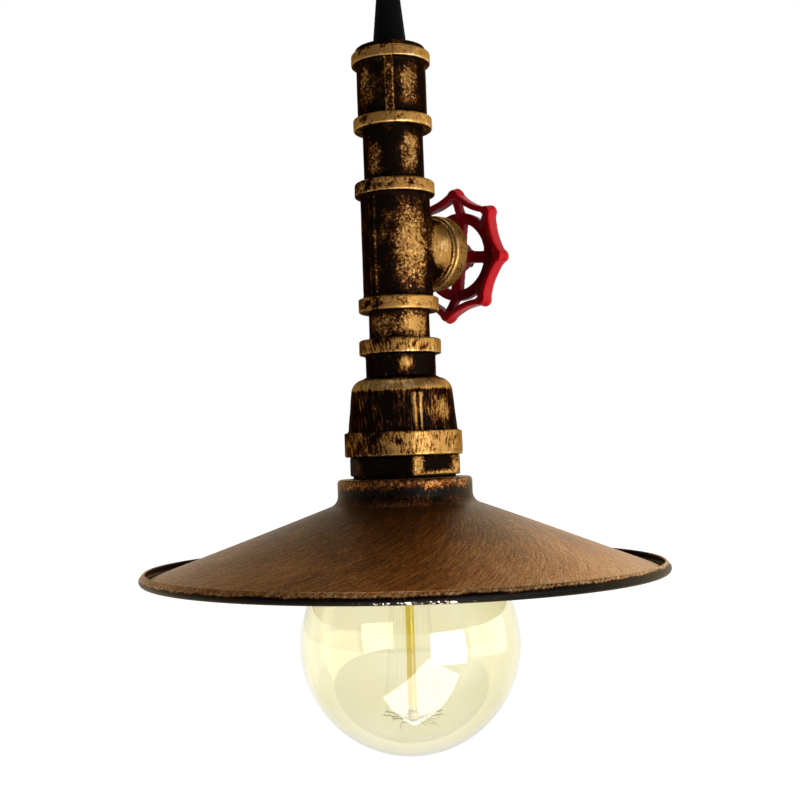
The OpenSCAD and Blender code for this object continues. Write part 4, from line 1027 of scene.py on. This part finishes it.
def dress_solids(finish):
    """Finishes for the CAD nodes that stay as they are."""
    worn = {
        "zinc": ["cord_grip_locknut", "lock_screw", "support_washer", "lamp_tube", "tube_nuts",
                 "holder_bracket", "bracket_screws", "terminal_screws"],
        "brass": ["packing_nut", "shade_ring_nut", "screw_shell", "centre_contact", "terminals", "spindle",
                  "bulb_contact"],
        "rubber": ["packing_ring", "shade_washer"],
        "dark": ["wheel_washer", "wheel_nut"],
        "wire": ["bulb_lead_wires", "bulb_anchors"],
        "grip": ["cord_grip"],
        "white": ["cord_grip_screw"],
        "porcelain": ["lampholder_body"],
        "vitrite": ["bulb_cap_insulator"],
        "stem": ["bulb_stem"],
        "bronze": ["bonnet"],
    }
    for kind, nodes in worn.items():
        for node in nodes:
            mesh = NODES[node].data
            mesh.materials.clear()
            mesh.materials.append(finish[kind])


# Studio

def camera():
    """The photograph's view: near the reducer's height, looking up a little, the lamp leaning left."""
    lens_px, frame_px, sensor_mm = 1256.0, 800, 36.0
    distance, height, horizon, left, roll = 545.0, -200.3, 52.0, 0.87, 2.0
    data = bpy.data.cameras.new("camera")
    data.sensor_width = sensor_mm
    data.lens = lens_px / frame_px * sensor_mm
    data.clip_start, data.clip_end = 0.01, 100.0
    toward = math.radians(FRONT)
    level = Vector((-math.cos(toward), -math.sin(toward), 0))
    right = Vector((level.y, -level.x, 0))
    pitch = math.atan2(horizon, lens_px)
    ahead = level * math.cos(pitch) + Vector((0, 0, math.sin(pitch)))
    up = right.cross(ahead)
    tilt = math.radians(roll)
    side, top = right * math.cos(tilt) - up * math.sin(tilt), up * math.cos(tilt) + right * math.sin(tilt)
    eye = linked("camera", data)
    at = -level * distance - right * left + Vector((0, 0, height))
    eye.matrix_world = Matrix((side, top, -ahead)).transposed().to_4x4()
    eye.location = at * MM
    bpy.context.scene.camera = eye


def soft_light(name, azimuth, elevation, distance, size, watts, spin=0, through_glass=True):
    """A softbox, placed by its direction from the lamp as the camera sees it: azimuth to the right."""
    lamp_mid = Vector((0, 0, -0.19))
    data = bpy.data.lights.new(name, "AREA")
    data.shape = "RECTANGLE"
    data.size, data.size_y = size
    data.energy = watts
    turn, rise = math.radians(FRONT + azimuth), math.radians(elevation)
    way = Vector((math.cos(turn) * math.cos(rise), math.sin(turn) * math.cos(rise), math.sin(rise)))
    lamp = linked(name, data)
    lamp.location = way * distance + lamp_mid
    lamp.visible_transmission = through_glass
    lamp.rotation_mode = "QUATERNION"
    lamp.rotation_quaternion = way.to_track_quat("Z", "Y") @ Quaternion((0, 0, 1), math.radians(spin))


def seen_directly(tree):
    """1 for rays from the camera, off gloss or through glass."""
    path = add(tree, "ShaderNodeLightPath")
    seen = calc(tree, "MAXIMUM", path.outputs["Is Camera Ray"], path.outputs["Is Glossy Ray"])
    return calc(tree, "MAXIMUM", seen, path.outputs["Is Transmission Ray"])


def room(tree):
    """How bright it is where a ray leaves: the white backdrop, or off gloss also the dim room."""
    path = add(tree, "ShaderNodeLightPath")
    way = add(tree, "ShaderNodeTexCoord").outputs["Generated"]
    toward = math.radians(FRONT)
    level = (-math.cos(toward), -math.sin(toward), 0)
    behind = between(tree, dot(tree, way, level), -0.3, 0.5)
    rise = add(tree, "ShaderNodeSeparateXYZ", {0: way}).outputs["Z"]
    backdrop = calc(tree, "MULTIPLY", behind, between(tree, rise, 0.3, 0.7, 1.0, 0.0))
    right = dot(tree, way, (level[1], -level[0], 0))
    backdrop = calc(tree, "MULTIPLY", backdrop, between(tree, right, -0.5, 0.4, 0.55, 1.0))
    gloss = between(tree, backdrop, 0.0, 1.0, 0.2, 1.0)
    strength = mixed_value(tree, path.outputs["Is Glossy Ray"], 0.18, gloss)
    direct = calc(tree, "MAXIMUM", path.outputs["Is Camera Ray"], path.outputs["Is Transmission Ray"])
    return mixed_value(tree, direct, strength, 1.0)


def studio():
    """White surroundings, a floor that looks white, and the soft lights."""
    world = bpy.data.worlds.new("studio")
    bpy.context.scene.world = world
    world.use_nodes = True
    tree = world.node_tree
    back = tree.nodes["Background"]
    back.inputs["Color"].default_value = (1, 1, 1, 1)
    tree.links.new(room(tree), back.inputs["Strength"])

    mesh = bpy.data.meshes.new("floor")
    reach, depth = 20.0, -1.0
    corners = [(x * reach, y * reach, depth) for x, y in ((-1, -1), (1, -1), (1, 1), (-1, 1))]
    mesh.from_pydata(corners, [], [(0, 1, 2, 3)])
    floor = linked("floor", mesh)
    material, tree, shader = new_finish("pale_floor", Roughness=0.9)
    shader.inputs["Base Color"].default_value = rgb(150, 150, 148)
    across = add(tree, "ShaderNodeVectorMath", {0: place(tree)}, operation="LENGTH").outputs["Value"]
    glow = calc(tree, "MULTIPLY", seen_directly(tree), between(tree, across, 1.2, 2.4, 0.72, 1.0))
    lit = add(tree, "ShaderNodeEmission", {"Color": (1, 1, 1, 1), "Strength": glow})
    both = add(tree, "ShaderNodeAddShader", {0: shader.outputs[0], 1: lit.outputs[0]})
    tree.links.new(both.outputs[0], tree.nodes["Material Output"].inputs["Surface"])
    mesh.materials.append(material)

    soft_light("key_softbox", 38, -5, 0.9, (0.6, 0.5), 4.7)
    soft_light("low_panel", 14, -48, 0.62, (0.44, 0.66), 4.8, -37, through_glass=False)
    soft_light("right_wall", 88, 8, 0.9, (0.9, 0.8), 2.7)
    soft_light("back_softbox", 152, 28, 1.0, (0.6, 0.45), 0.85, through_glass=False)
    soft_light("top_softbox", 180, 84, 1.0, (0.45, 0.45), 1.8, through_glass=False)


def main():
    camera()
    studio()
    finish = finishes()
    dress_solids(finish)
    plug(finish["bronze"])
    coupling(finish["bronze"])
    upper_mid, lower_mid = (COUPLING_FOOT + TEE_TOP) / 2, (TEE_FOOT + REDUCER_TOP) / 2
    # Each pipe's strongest patch, right of the front, is wear and a painted highlight.
    nipple("upper_pipe", "upper_nipple", COUPLING_FOOT + THREAD_DEEP, TEE_TOP - THREAD_DEEP,
           [(-40, 18, upper_mid - 2, 7, 0.6), (34, 20, upper_mid, 8.5, 0.8), (120, 30, upper_mid, 8, 0.6),
            (-130, 30, upper_mid, 8, 0.6)], finish["bronze"])
    nipple("lower_pipe", "lower_nipple", TEE_FOOT + THREAD_DEEP, REDUCER_TOP - THREAD_DEEP,
           [(-35, 30, lower_mid, 5.6, 0.55), (32, 32, lower_mid, 6.2, 1.0), (150, 60, lower_mid, 5, 0.65)],
           finish["bronze"])
    tee(finish["bronze"])
    reducer(finish["bell"])
    hex_piece(finish["bronze"])
    shade(finish["copper"])
    handwheel(finish["red"])
    globe(finish["glass"])
    bulb_cap(finish["brass"])
    filament(finish["filament"])
    wire_spray(finish["wire"])


bpy.context.scene.view_settings.view_transform = "Standard"
main()
